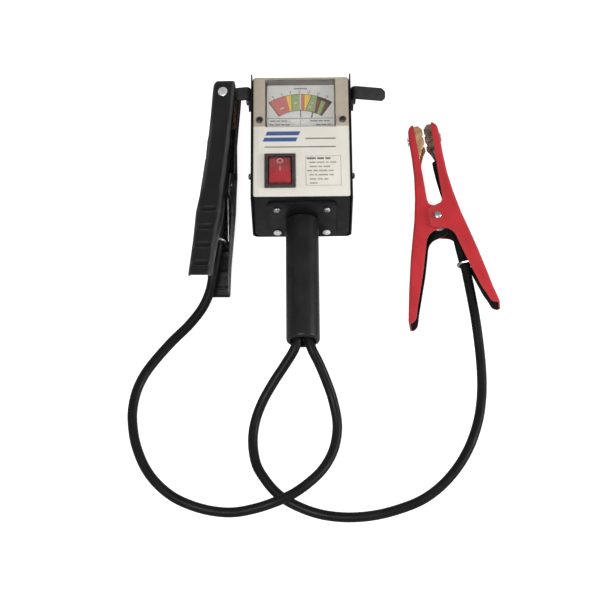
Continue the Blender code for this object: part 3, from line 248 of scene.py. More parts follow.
def face_label():
    """Printed label on top, tan at the meter end, over the black paint of the folded panel."""
    surface = Surface("face_label", roughness=0.42, Specular_IOR_Level=0.14)
    x, y, z = surface.axes()
    tan_paper = varied(surface, (0.445, 0.385, 0.305), 0.05, 90.0)
    pale_paper = varied(surface, (0.72, 0.69, 0.62), 0.03, 70.0)
    far_end = surface.span(y, TAN_EDGE_Y - 0.15 * MM, TAN_EDGE_Y + 0.15 * MM)
    paper = surface.mix(far_end, pale_paper, tan_paper)
    worn = [surface.span(surface.math("ABSOLUTE", way), start, start + 1.0 * MM)
            for way, start in zip((x, y), LABEL_WORN)]
    edge = surface.math("MAXIMUM", *worn)
    paper = surface.mix(surface.math("MULTIPLY", edge, 0.18), paper, (0.35, 0.31, 0.26))
    from_crease = surface.math("ABSOLUTE", surface.math("ADD", x, CREASE_X))
    crease = surface.span(from_crease, 0.4 * MM, 1.9 * MM, 0.14, 0.0)
    paper = surface.mix(crease, paper, (0.40, 0.39, 0.36))
    smudge = surface.span(surface.noise(28.0, 5.0), 0.55, 0.8, 0.0, 0.10)
    paper = surface.mix(smudge, paper, (0.42, 0.38, 0.32))
    on_top = surface.span(z, FACE_Z - 0.9 * MM, FACE_Z - 0.6 * MM)
    surface.set("Base Color", surface.mix(on_top, varied(surface, (0.010, 0.010, 0.0105)), paper))
    surface.satin(140.0, 0.36, 0.50)
    surface.bump(surface.noise(2200.0, 2.0), 0.00006, 0.25)
    return surface.material


def wrinkle_black():
    """Baked black paint with a fine orange-peel skin, worn a little on its grain."""
    surface = Surface("wrinkle_black", Specular_IOR_Level=0.12)
    grain = surface.cells(900.0)
    base = varied(surface, (0.0095, 0.0095, 0.0100), 0.25, 45.0)
    dust = surface.span(surface.noise(320.0, 5.0), 0.62, 0.80, 0.0, 0.35)
    surface.set("Base Color", surface.mix(dust, base, (0.030, 0.029, 0.028)))
    surface.satin(90.0, 0.38, 0.55)
    surface.bump(grain, 0.00018, 0.35)
    surface.bump(surface.noise(180.0, 2.0), 0.00030, 0.12)
    return surface.material


def plated(name, colour, low, high, scale=500.0, metal=1.0):
    """Bright metal with fine scratches and a cloudy roughness."""
    surface = Surface(name, metallic=metal)
    scratch = surface.noise(scale, 4.0, 0.7, surface.stretched((1.0, 6.0, 1.0)))
    surface.set("Base Color", surface.mix(surface.span(surface.noise(130.0), 0.3, 0.75),
                                          colour, tuple(value * 0.72 for value in colour)))
    surface.set("Roughness", surface.span(scratch, 0.3, 0.7, low, high))
    surface.bump(scratch, 0.00003, 0.35)
    return surface.material


def moulded_black(name="moulded_black", colour=(0.018, 0.018, 0.019), low=0.32, high=0.5):
    return simple(name, colour, (0.2, 120.0), (240.0, low, high), (1600.0, 0.00008, 0.3),
                  pored=True)


def grip_sleeve():
    """Soft black sleeve with a dry, finely pored skin."""
    surface = Surface("grip_sleeve", Specular_IOR_Level=0.27)
    surface.set("Base Color", varied(surface, (0.0115, 0.0110, 0.0120), 0.22, 70.0))
    surface.satin(160.0, 0.32, 0.42)
    surface.bump(surface.cells(1300.0), 0.00020, 0.30)
    surface.bump(surface.noise(80.0, 2.0), 0.00040, 0.10)
    return surface.material


def cable_jacket():
    """Flexible jacket: satin and a little dusty."""
    surface = Surface("cable_jacket", Specular_IOR_Level=0.12)
    base = varied(surface, (0.0088, 0.0085, 0.0086), 0.25, 60.0)
    dust = surface.span(surface.noise(420.0, 4.0), 0.60, 0.8, 0.0, 0.3)
    surface.set("Base Color", surface.mix(dust, base, (0.026, 0.025, 0.024)))
    surface.satin(110.0, 0.34, 0.48)
    surface.bump(surface.noise(700.0, 3.0), 0.00012, 0.25)
    return surface.material


def wire_skin(name, colour):
    return simple(name, colour, (0.15, 200.0), (200.0, 0.4, 0.55), (900.0, 0.00006, 0.3))


def dipped(name, colour, rub, fold_highlight, pivot, turn, low=0.30, high=0.44):
    """Thick soft paint of a clamp arm, with a painted highlight along its folds and painted shade
    in its handle's grooves.
    """
    surface = Surface(name, Specular_IOR_Level=0.32)
    rubbed = surface.span(surface.noise(240.0, 6.0, 0.7), 0.60, 0.78, 0.0, 0.55)
    streak = surface.noise(90.0, 4.0, 0.6, surface.stretched((3.0, 0.5, 3.0)))
    coat = surface.mix(surface.span(streak, 0.52, 0.72, 0.0, 0.30),
                       varied(surface, colour, 0.09, 45.0),
                       tuple(value * 0.62 for value in colour))
    coat = surface.mix(rubbed, coat, rub)
    # Painted highlight along the folds, where the surface is most bent
    bent = surface.node("NewGeometry").outputs["Pointiness"]
    coat = surface.mix(surface.span(bent, 0.505, 0.545, 0.0, 0.8), coat, fold_highlight)
    along, across = [surface.distance_along(pivot, turn.to_matrix().col[axis]) for axis in (1, 2)]
    # Painted shade in the handle's grooves, across the middle of the web
    from_groove = surface.math("PINGPONG", surface.math("SUBTRACT", along, GROOVES[0] * MM),
                               GROOVE_PITCH * MM / 2)
    groove_shade = surface.span(from_groove, 1.0 * MM, 2.6 * MM, 0.85, 0.0)
    on_handle = surface.span(along, (GROOVES[0] + 3.0) * MM, (GROOVES[0] + 4.0) * MM, 1.0, 0.0)
    in_middle = surface.span(surface.math("ABSOLUTE", across), 6.0 * MM, 7.5 * MM, 1.0, 0.0)
    shade = surface.math("MULTIPLY", groove_shade, surface.math("MULTIPLY", on_handle, in_middle))
    surface.set("Base Color", surface.mix(shade, coat, tuple(value * 0.25 for value in colour)))
    satin = surface.span(surface.noise(120.0), 0.3, 0.7, low, high)
    surface.set("Roughness", surface.math("MAXIMUM", satin, shade))
    surface.bump(surface.noise(420.0, 3.0), 0.00020, 0.22)
    surface.bump(surface.cells(1100.0), 0.00006, 0.25)
    return surface.material


def copper_plate(name, bright, dull):
    """Pressed jaw, bright copper with duller patches."""
    surface = Surface(name, metallic=0.85)
    tarnish = surface.span(surface.noise(170.0, 5.0, 0.65), 0.38, 0.66)
    surface.set("Base Color", surface.mix(tarnish, bright, dull))
    surface.satin(380.0, 0.28, 0.50)
    surface.bump(surface.noise(900.0, 4.0), 0.00012, 0.4)
    return surface.material


def rocker_red():
    """Tinted, slightly see-through plastic, with painted shade over the end toward the meter and
    round its rim.
    """
    surface = Surface("rocker_red", roughness=0.22, Transmission_Weight=0.12,
                      Subsurface_Weight=0.2, Subsurface_Scale=0.002,
                      Subsurface_Radius=(1.0, 0.15, 0.1))
    x, y, z = surface.axes()
    # Painted shade: the half toward the meter is darker
    shaded_end = surface.span(y, SWITCH_AXIS.y - 3.0 * MM, SWITCH_AXIS.y + 5.0 * MM)
    plastic = surface.mix(shaded_end, varied(surface, (0.50, 0.035, 0.050), 0.08, 160.0),
                          varied(surface, (0.33, 0.058, 0.062), 0.12, 160.0))
    from_side = surface.math("ABSOLUTE", surface.math("SUBTRACT", x, SWITCH_AXIS.x))
    from_end = surface.math("ABSOLUTE", surface.math("SUBTRACT", y, SWITCH_AXIS.y))
    # Painted shade round the rocker's rim, standing in for the gap to its bezel
    rim_shade = surface.math("MAXIMUM", surface.span(from_side, 7.2 * MM, 9.0 * MM),
                       surface.span(from_end, 10.2 * MM, 12.0 * MM))
    plastic = surface.mix(surface.math("MULTIPLY", rim_shade, 0.55), plastic, (0.16, 0.030, 0.034))
    surface.set("Base Color", plastic)
    surface.satin(260.0, 0.18, 0.32)
    surface.bump(surface.noise(500.0), 0.00004, 0.3)
    return surface.material


def needle_paint():
    """Pointer, white where it passes over the scale, black below and pale at its foot."""
    surface = Surface("needle_paint")
    y = surface.axes()[1]
    over_scale = surface.span(y, SCALE_NEAR_Y - 0.3 * MM, SCALE_NEAR_Y + 0.3 * MM)
    stem = surface.span(y, 20.9 * MM, 21.5 * MM)
    lower = surface.mix(stem, varied(surface, (0.70, 0.69, 0.66), 0.04, 300.0),
                        varied(surface, (0.045, 0.043, 0.042), 0.2, 300.0))
    surface.set("Base Color", surface.mix(over_scale, lower,
                                          varied(surface, (0.72, 0.71, 0.68), 0.04, 300.0)))
    surface.satin(300.0, 0.4, 0.5)
    surface.bump(surface.noise(1800.0), 0.00002, 0.3)
    return surface.material


def meter_shell():
    """Meter case: black outside, a warm grey lining above the dial."""
    surface = Surface("meter_shell")
    z = surface.axes()[2]
    lining = surface.span(z, DIAL_Z - 0.3 * MM, DIAL_Z)
    black = varied(surface, (0.018, 0.018, 0.019), 0.2, 120.0)
    surface.set("Base Color", surface.mix(lining, black,
                                          varied(surface, (0.225, 0.205, 0.185), 0.08, 120.0)))
    surface.satin(240.0, 0.45, 0.6)
    surface.bump(surface.cells(1600.0), 0.00008, 0.3)
    return surface.material


def clear_window():
    """Clear sheet, hardly tinted, with a few hazy rubs."""
    surface = Surface("clear_window", (0.99, 0.99, 0.985), 0.02, Transmission_Weight=1.0, IOR=1.1)
    surface.set("Base Color", varied(surface, (0.985, 0.985, 0.98), 0.01, 40.0))
    surface.set("Roughness", surface.span(surface.noise(220.0, 5.0), 0.55, 0.85, 0.01, 0.06))
    surface.bump(surface.noise(60.0), 0.00005, 0.05)
    return surface.material


def dial_card():
    """Printed card, whiter in the plain field under the scale."""
    surface = Surface("dial_card")
    reach = surface.node("VectorMath", {0: surface.place(), 1: DIAL_CENTRE},
                         operation="DISTANCE").outputs["Value"]
    field = surface.span(reach, 26.0 * MM, SCALE_INNER * MM, 1.0, 0.0)
    above_line = surface.span(surface.axes()[1], 20.9 * MM, 21.6 * MM)
    card = surface.mix(surface.math("MULTIPLY", field, above_line),
                       varied(surface, (0.84, 0.83, 0.79), 0.04, 90.0), (0.92, 0.91, 0.88))
    surface.set("Base Color", card)
    surface.satin(200.0, 0.5, 0.65)
    surface.bump(surface.noise(1500.0), 0.00004, 0.3)
    return surface.material


def ink(name, colour, roughness=0.5):
    """Screen-printed ink with a slight break-up."""
    return simple(name, colour, (0.10, 500.0), (300.0, roughness - 0.08, roughness + 0.08),
                  (2500.0, 0.00003, 0.4))


def paint(obj, material):
    obj.data.materials.clear()
    obj.data.materials.append(material)


def smoothing_group():
    """Welds a CAD node's facets and shades it smooth up to an angle."""
    group = bpy.data.node_groups.new("smooth_facets", "GeometryNodeTree")
    group.interface.new_socket("Geometry", in_out="INPUT", socket_type="NodeSocketGeometry")
    group.interface.new_socket("Geometry", in_out="OUTPUT", socket_type="NodeSocketGeometry")
    nodes, links = group.nodes, group.links
    source = nodes.new("NodeGroupInput")
    weld = nodes.new("GeometryNodeMergeByDistance")
    weld.inputs["Distance"].default_value = 0.00001
    faces = nodes.new("GeometryNodeSetShadeSmooth")
    edges = nodes.new("GeometryNodeSetShadeSmooth")
    edges.domain = "EDGE"
    edges.inputs["Shade Smooth"].default_value = False
    edge_angle = nodes.new("GeometryNodeInputMeshEdgeAngle")
    sharp = nodes.new("FunctionNodeCompare")
    sharp.operation = "GREATER_THAN"
    sharp.inputs[1].default_value = SHARP
    target = nodes.new("NodeGroupOutput")
    links.new(source.outputs["Geometry"], weld.inputs["Geometry"])
    links.new(weld.outputs["Geometry"], faces.inputs["Geometry"])
    links.new(faces.outputs["Geometry"], edges.inputs["Geometry"])
    links.new(edge_angle.outputs["Unsigned Angle"], sharp.inputs[0])
    links.new(sharp.outputs["Result"], edges.inputs["Selection"])
    links.new(edges.outputs["Geometry"], target.inputs[0])
    return group


SMOOTHING = smoothing_group()


def soften(node, width):
    """Rounds a node's hard edges a little and shades it smooth."""
    obj = NODES[node]
    if width:
        weld = obj.modifiers.new("weld", "WELD")
        weld.merge_threshold = 0.00001
        bevel = obj.modifiers.new("edges", "BEVEL")
        bevel.width = width
        bevel.segments = 2
        bevel.limit_method = "ANGLE"
        bevel.angle_limit = SHARP
        bevel.use_clamp_overlap = True
        bevel.harden_normals = False
    smooth = obj.modifiers.new("smooth", "NODES")
    smooth.node_group = SMOOTHING


def add_piece(name, mesh, material, body):
    obj = linked(name, mesh)
    obj.data.materials.append(material)
    if body:
        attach(obj, body)
    return obj


def mesh_from(bm, name):
    mesh = bpy.data.meshes.new(name)
    bm.to_mesh(mesh)
    bm.free()
    return mesh


def from_bmesh(name, bm, material, body, smooth=True):
    mesh = mesh_from(bm, name)
    if smooth:
        mesh.shade_smooth()
        mesh.set_sharp_from_angle(angle=SHARP)
    return add_piece(name, mesh, material, body)


def slab(bm, low, high):
    """Adds a thin closed solid between two matching outlines to a bmesh."""
    low = [bm.verts.new(point) for point in low]
    high = [bm.verts.new(point) for point in high]
    bm.faces.new(high)
    bm.faces.new(list(reversed(low)))
    for index in range(len(low)):
        after = (index + 1) % len(low)
        bm.faces.new((low[index], low[after], high[after], high[index]))


def plate(bm, outline, bottom, top, place=Matrix.Identity(4)):
    """Adds a flat plate with the given outline."""
    slab(bm, *[[place @ Vector((x, y, level)) for x, y in outline] for level in (bottom, top)])


def rectangle(x0, y0, x1, y1):
    return [(x0, y0), (x1, y0), (x1, y1), (x0, y1)]


def tube(name, points, radius, resolution):
    """A round wire through the points, as a curve."""
    curve = bpy.data.curves.new(name, "CURVE")
    curve.dimensions = "3D"
    curve.bevel_depth = radius
    curve.bevel_resolution = resolution
    curve.use_fill_caps = True
    spline = curve.splines.new("POLY")
    spline.points.add(len(points) - 1)
    for target, point in zip(spline.points, points):
        target.co = (*point, 1.0)
    spline.use_smooth = True
    return curve


def mesh_of(curve):
    """The curve's surface as a mesh of its own, without a material."""
    carrier = bpy.data.objects.new(curve.name, curve)
    mesh = bpy.data.meshes.new_from_object(carrier)
    bpy.data.objects.remove(carrier, do_unlink=True)
    mesh.materials.clear()
    return mesh


def smooth_path(points, spacing):
    """Points read at even spacing from a smooth curve through the given ones."""
    points = [Vector(point) for point in points]
    padded = [2 * points[0] - points[1], *points, 2 * points[-1] - points[-2]]
    dense = []
    for before, start, end, after in zip(padded, padded[1:], padded[2:], padded[3:]):
        for step in range(12):
            t = step / 12
            dense.append(0.5 * (2 * start + (end - before) * t
                                + (2 * before - 5 * start + 4 * end - after) * t ** 2
                                + (3 * start - before - 3 * end + after) * t ** 3))
    dense.append(points[-1])
    length = sum((b - a).length for a, b in zip(dense, dense[1:]))
    count = max(2, round(length / spacing))
    result = [dense[0]]
    travelled = 0.0
    for a, b in zip(dense, dense[1:]):
        part = (b - a).length
        while len(result) < count and travelled + part >= length * len(result) / count:
            share = (length * len(result) / count - travelled) / part
            result.append(a.lerp(b, share))
        travelled += part
    result.append(dense[-1])
    return result, length


# The cables' routes in mm, from the handle's mouth to the handle end of each clamp; a point
# without a height lies on the ground
RED_ROUTE = [(-5.0, -168.0, 34.1), (-7.8, -175.4, 32.0), (-14.4, -184.4, 26.4),
             (-24.6, -197.6, 18.4), (-33.6, -211.6, 10.8), (-39.4, -227.2, 6.0), (-41.0, -243.8),
             (-38.2, -261.4), (-31.0, -274.6), (-22.6, -285.0), (-12.0, -293.2), (3.5, -300.6),
             (19.2, -304.8), (37.5, -306.2), (57.8, -304.2), (77.9, -298.7), (94.5, -291.4),
             (109.4, -280.0), (122.4, -265.0), (132.5, -247.8), (139.8, -228.2), (143.5, -210.2),
             (145.0, -192.8, 4.4), (144.8, -175.6, 6.2), (143.5, -158.0, 9.4),
             (141.6, -140.7, 13.0), (139.2, -122.4, 14.6)]
BLACK_ROUTE = [(5.0, -168.0, 34.1), (7.6, -175.4, 32.0), (12.6, -184.0, 26.4),
               (18.6, -196.6, 18.4), (23.6, -210.0, 11.2), (26.8, -227.4, 6.2), (25.5, -242.5),
               (21.3, -255.4, 5.0), (13.9, -268.1, 7.6), (3.7, -279.2, 10.8),
               (-8.4, -288.8, 13.0), (-22.5, -295.6, 13.2), (-38.5, -300.2, 10.8),
               (-56.0, -302.0, 6.8), (-72.9, -300.0, 4.6), (-89.4, -295.2), (-104.6, -287.6),
               (-117.8, -276.0), (-127.6, -262.0), (-134.8, -243.8), (-138.0, -226.2),
               (-138.2, -212.4), (-135.4, -197.4), (-129.5, -183.4), (-120.5, -170.0),
               (-108.0, -154.6, 4.4), (-94.5, -140.6, 5.4), (-83.8, -127.6, 8.6),
               (-77.6, -115.6, 12.4), (-74.6, -104.0, 16.2)]
# Inside a clamp, in its own frame: along the cable arm, past the pivot, to the jaw
CLAMP_ROUTE = [(-15.6, -50.0), (-15.0, -44.0), (-13.5, -22.0), (-13.2, 0.0), (-10.2, 18.0),
               (-8.0, 36.0), (-7.1, 48.0), (-7.0, 54.5)]


def cable(name, node, side, route, pivot, turn, opening, material):
    """A free cable from inside the grip to the jaw of a clamp."""
    start = [Vector((side * CORD_APART, y, HANDLE_Z)) * MM for y in (-150.0, -160.0)]
    free = [Vector((*point, CORD_LOW)[:3]) * MM for point in route]
    spread = Matrix.Rotation(opening, 3, "Z")
    held = [pivot + turn.to_matrix() @ (spread @ (Vector((x, y, 0.0)) * MM))
            for x, y in CLAMP_ROUTE]
    points, length = smooth_path(start + free + held, 3.0 * MM)
    obj = add_piece(name, tube(name, points, CORD_RADIUS, 8), material, "case")
    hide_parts(node)


# The clamps' arms, as (mm toward the jaws, mm from the clamp's middle)
ARM_WEB = [(90.0, 9.8), (88.6, 11.6), (85.0, 12.9), (78.0, 13.4), (60.0, 13.4), (40.0, 14.2),
           (20.0, 16.5), (0.0, 20.0), (-15.0, 23.6), (-35.0, 28.2), (-60.0, 33.2), (-80.0, 36.6),
           (-90.0, 38.2), (-92.0, 38.0)]
ARM_LIP = [(90.0, 7.6), (60.0, 7.0), (40.0, 6.6), (16.0, 6.5), (12.4, 5.4), (10.4, 2.8),
           (9.4, -2.0), (8.4, -5.6), (6.0, -7.0), (-8.0, -7.0), (-10.4, -5.4), (-11.6, -1.6),
           (-12.2, 3.4), (-13.8, 7.4), (-17.0, 10.6), (-21.0, 12.4), (-25.0, 13.3),
           (-45.0, 18.4), (-67.0, 25.0), (-80.0, 29.0), (-86.0, 30.4), (-89.0, 31.4),
           (-91.0, 33.0), (-92.0, 35.4)]
ARM_WIDTH = [(90.0, 15.6), (88.0, 18.0), (84.0, 18.6), (40.0, 18.6), (14.0, 22.5), (-16.0, 22.5),
             (-60.0, 18.6), (-92.0, 18.6)]
JAW_LIP = [(89.2, 3.4), (84.5, 0.25), (79.2, 0.25), (78.5, 2.9), (74.4, 0.25), (71.0, 0.25),
           (66.0, 3.2), (60.0, 5.4), (56.0, 6.6)]
TROUGH = (57.0, -20.0, 14.0, 1.2)      # start, stop, ramp, depth
TROUGH_HALF = 6.0
GROOVE_PITCH = 16.6
GROOVES = tuple(-32.0 - GROOVE_PITCH * index for index in range(4))
GROOVE_HALF = 2.4
GROOVE_DEPTH = 1.5
HANDLE_TIP = -70.0
CABLE_TIP_SHARE = 0.7
TOOTH_PITCH = 1.9
TOOTH_DEPTH = 0.7
ARM_PITCH = 1.3                        # of the cross-sections, 0.5 in the fine spans
ARM_FINE = ((-95.0, -79.0), (-18.5, 16.5), (84.0, 91.0))
SPRING_WIRE = 1.1                      # radius
SPRING_RADIUS = 6.6
SPRING_TURNS = 4.5
SPRING_PITCH = 2.7
SPRING_STEPS = 32                      # in a turn
SPRING_LEG_END = -40.0


def between(table, position):
    """Straight-line reading of a table of (position, value), positions falling."""
    if position >= table[0][0]:
        return table[0][1]
    for (high, high_value), (low, low_value) in zip(table, table[1:]):
        if position >= low:
            return low_value + (high_value - low_value) * (position - low) / (high - low)
    return table[-1][1]


def eased(table, position, reach=1.0):
    """The same reading with its corners softened."""
    shifts = [reach * step / 2 for step in (-2, -1, 0, 1, 2)]
    return sum(between(table, position + shift) for shift in shifts) / len(shifts)


def half_width(t, nest):
    blend = min(1.0, max(0.0, (34.0 - abs(t)) / 16.0))
    return eased(ARM_WIDTH, t, 2.0) / 2 - nest * blend


def pressed_in(t):
    """Depth of the trough or of a grip groove in the web at t."""
    start, stop, ramp, depth = TROUGH
    share = min((start - t) / ramp, (t - stop) / ramp)
    if share > 0.0:
        share = min(1.0, share)
        return depth * share * share * (3 - 2 * share)
    for middle in GROOVES:
        if abs(t - middle) < GROOVE_HALF:
            return GROOVE_DEPTH * cos(0.5 * pi * (t - middle) / GROOVE_HALF) ** 2
    return 0.0


def section(t, web, lip, half, bend, dip, side):
    """A cross-section of a folded arm or jaw, from the lip at +Z to the lip at -Z."""
    web = max(web, lip + 0.25)
    bend = min(bend, 0.9 * (web - lip), 0.6 * half)
    row = [(lip, half), (lip + 0.5 * (web - bend - lip), half)]
    for step in range(6):
        angle = radians(90 - 18 * step)
        row.append((web - bend + bend * cos(angle), half - bend + bend * sin(angle)))
    trough = min(TROUGH_HALF, 0.93 * (half - bend))
    for share, press in ((1.0, 0.35), (0.85, 0.85), (0.5, 1.0)):
        row.append((web - dip * press, trough * share))
    row.append((web - dip, 0.0))
    row += [(x, -z) for x, z in reversed(row[:-1])]
    if side < 0 and t < HANDLE_TIP:
        t = HANDLE_TIP + (t - HANDLE_TIP) * CABLE_TIP_SHARE
    return [Vector((side * x, t, z)) * MM for x, z in row]


def skins(t, web, lip, half, bend, dip, side, sheet):
    """The outer and the inner cross-section of a sheet."""
    return (section(t, web, lip, half, bend, dip, side),
            section(t, web - sheet, lip, half - sheet, max(0.4, bend - sheet), dip, side))


def stations(start, stop, pitch, fine=()):
    """Positions from start down to stop, closer together inside the fine spans."""
    result = [start]
    while result[-1] > stop + 0.01:
        step = pitch
        for low, high in fine:
            if low < result[-1] < high:
                step = 0.5
        result.append(max(stop, result[-1] - step))
    return result


def folded_shell(name, rows, side, place, outside, inside, body, node):
    """A folded sheet through pairs of cross-sections, darker inside its channel."""
    bm = bmesh.new()
    outer = [[bm.verts.new(place @ point) for point in row] for row, _ in rows]
    inner = [[bm.verts.new(place @ point) for point in row] for _, row in rows]

    def quad(corners, material, flip):
        face = bm.faces.new(list(reversed(corners)) if flip else corners)
        face.material_index = material

    for upper, lower in zip(range(len(rows)), range(1, len(rows))):
        for index in range(len(outer[0]) - 1):
            for grid, material in ((outer, 0), (inner, 1)):
                corners = [grid[upper][index], grid[upper][index + 1], grid[lower][index + 1],
                           grid[lower][index]]
                quad(corners, material, (side > 0) == (grid is outer))
        for index in (0, -1):
            corners = [outer[upper][index], inner[upper][index], inner[lower][index],
                       outer[lower][index]]
            quad(corners, 0, (side > 0) != (index == 0))
    for end in (0, -1):
        for index in range(len(outer[0]) - 1):
            corners = [outer[end][index], outer[end][index + 1], inner[end][index + 1],
                       inner[end][index]]
            quad(corners, 0, (side > 0) == (end == 0))
    bmesh.ops.recalc_face_normals(bm, faces=bm.faces)
    obj = from_bmesh(name, bm, outside, body)
    obj.data.materials.append(inside)
    rounding = obj.modifiers.new("rounding", "BEVEL")
    rounding.width = 0.28 * MM
    rounding.segments = 2
    rounding.limit_method = "ANGLE"
    rounding.angle_limit = radians(55.0)
    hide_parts(node)
    return obj


def arm_and_jaw(label, role, side, place, body, outside, inside):
    """One arm with its toothed jaw and the jaw's rivet."""
    nest = ARM_NEST if side > 0 else 0.0
    rows = [skins(t, eased(ARM_WEB, t), eased(ARM_LIP, t), half_width(t, nest), ARM_BEND,
                  pressed_in(t), side, ARM_SHEET)
            for t in stations(ARM_WEB[0][0], ARM_WEB[-1][0], ARM_PITCH, ARM_FINE)]
    folded_shell(f"{label}_{role}_arm_shell", rows, side, place, outside, inside, body,
                 f"{label}_{role}_arm")
    rows = []
    for t in stations(JAW_LIP[0][0], JAW_LIP[-1][0], TOOTH_PITCH / 4):
        tooth = TOOTH_DEPTH * abs(2 * ((t / TOOTH_PITCH) % 1.0) - 1.0)
        rows.append(skins(t, eased(ARM_WEB, t) - JAW_INSET - 0.4, between(JAW_LIP, t) + tooth,
                          half_width(t, 0.0) - JAW_INSET, ARM_BEND - JAW_INSET, 0.0, side,
                          ARM_SHEET))
    # The cable arm's jaw takes a darker copy of the same copper: painted shade
    copper = COPPER_BRIGHT if side > 0 else COPPER_SHADED
    folded_shell(f"{label}_{role}_jaw_teeth", rows, side, place, copper, copper, body,
                 f"{label}_{role}_jaw")
    web = between(ARM_WEB, JAW_RIVET_T)
    seat = place @ Matrix.Translation(Vector((side * (web + 0.3), JAW_RIVET_T, 0.0)) * MM)
    seat = seat @ Matrix.Rotation(side * radians(90.0), 4, "Y")
    domed_rivet(f"{label}_{role}_jaw_rivet_head", seat, *JAW_RIVET, JAW_STEEL, body,
                f"{label}_{role}_jaw_rivet")


def clamp_pieces(label, pivot, turn, opening, outside, inside):
    """Both arms with their jaws, the spring and the pivot's rivet, in place of the plain ones."""
    frame_matrix = Matrix.Translation(pivot) @ turn.to_matrix().to_4x4()
    for side, role, body in ((1, "moving", f"{label}_jaw"), (-1, "cable", "case")):
        place = frame_matrix @ Matrix.Rotation(-side * opening, 4, "Z")
        arm_and_jaw(label, role, side, place, body, outside, inside)
    torsion_spring(label, frame_matrix, opening)
    seat = frame_matrix @ Matrix.Translation((0, 0, PIVOT_RIVET_Z * MM))
    domed_rivet(f"{label}_pivot_rivet_heads", seat, *PIVOT_RIVET, FINISHES["zinc"], "case",
                f"{label}_pivot_rivet", far_head=True)


def torsion_spring(label, frame_matrix, opening):
    """The coil round the pivot; one leg follows the moving arm, so the coil winds up."""
    half_length = SPRING_TURNS * SPRING_PITCH / 2
    leg_x = between(ARM_WEB, SPRING_LEG_END) - ARM_SHEET - SPRING_WIRE - 1.0
    spread = Matrix.Rotation(-opening, 3, "Z")
    steps = round(SPRING_TURNS * SPRING_STEPS)
    coil = []
    for step in range(steps + 1):
        angle = 2 * pi * SPRING_TURNS * step / steps
        coil.append(Vector((SPRING_RADIUS * cos(angle), SPRING_RADIUS * sin(angle),
                            half_length * (1 - 2 * step / steps))))
    legs = [spread @ Vector((leg_x, SPRING_LEG_END, half_length)),
            spread.inverted() @ Vector((-leg_x, SPRING_LEG_END, -half_length))]
    path = [frame_matrix @ (point * MM) for point in (legs[0], *coil, legs[1])]
    mesh = mesh_of(tube("spring_wire", path, SPRING_WIRE * MM, 3))
    mesh.shade_smooth()
    piece = add_piece(f"{label}_spring_wire", mesh, FINISHES["steel"], None)
    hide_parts(f"{label}_spring")
    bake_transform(piece)


def lathe(bm, profile, place, steps=32):
    """Turns (radius, height) points in mm, which start and end on the axis, into a closed solid."""
    rings = []
    for radius, height in profile:
        if radius < 0.001:
            rings.append([bm.verts.new(place @ (Vector((0.0, 0.0, height)) * MM))])
            continue
        rings.append([bm.verts.new(place @ (Vector((radius * cos(2 * pi * step / steps),
                                                    radius * sin(2 * pi * step / steps),
                                                    height)) * MM)) for step in range(steps)])
    for upper, lower in zip(rings, rings[1:]):
        for step in range(steps):
            after = (step + 1) % steps
            loop = [upper[step % len(upper)], lower[step % len(lower)],
                    lower[after % len(lower)], upper[after % len(upper)]]
            unique = list(dict.fromkeys(loop))
            if len(unique) > 2:
                bm.faces.new(unique)


def dome(radius, height, steps=8):
    """Points down a domed head with a short straight rim."""
    points = []
    for step in range(steps + 1):
        angle = radians(90.0 - 75.0 * step / steps)
        points.append((radius * cos(angle) / cos(radians(15.0)),
                       height * (0.35 + 0.65 * sin(angle))))
    points[0] = (0.0, points[0][1])
    return points + [(radius, 0.12 * height), (0.94 * radius, 0.0)]


def domed_rivet(name, place, radius, height, length, shank, material, body, node, far_head=False):
    profile = dome(radius, height) + [(shank, 0.0), (shank, -length)]
    if far_head:
        profile += [(0.94 * radius, -length), (radius, -length - 0.3 * height),
                    (0.85 * radius, -length - 0.7 * height), (0.5 * radius, -length - height)]
        profile.append((0.0, -length - height))
    else:
        profile.append((0.0, -length))
    bm = bmesh.new()
    lathe(bm, profile, place)
    obj = from_bmesh(name, bm, material, body)
    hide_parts(node)


def cross_screw(name, node, place, radius, height, spin, material):
    """A pan head with a cross recess."""
    bm = bmesh.new()
    lathe(bm, dome(radius, height) + [(0.0, 0.0)], place)
    head = from_bmesh(name, bm, material, "case")
    bm = bmesh.new()
    for quarter in (0.0, 90.0):
        turned = place @ Matrix.Rotation(radians(spin + quarter), 4, "Z")
        reach, half = 0.62 * radius, 0.15 * radius
        plate(bm, [(reach * MM, -half * MM), (reach * MM, half * MM), (-reach * MM, half * MM),
                   (-reach * MM, -half * MM)], 0.45 * height * MM, 2.0 * height * MM, turned)
    cutter = linked("recess", mesh_from(bm, "recess"))
    boolean = head.modifiers.new("recess", "BOOLEAN")
    boolean.operation = "DIFFERENCE"
    boolean.solver = "EXACT"
    boolean.use_self = True
    boolean.object = cutter
    bpy.context.view_layer.update()
    graph = bpy.context.evaluated_depsgraph_get()
    carved = bpy.data.meshes.new_from_object(head.evaluated_get(graph))
    head.modifiers.clear()
    head.data = carved
    bpy.data.objects.remove(cutter, do_unlink=True)
    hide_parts(node)


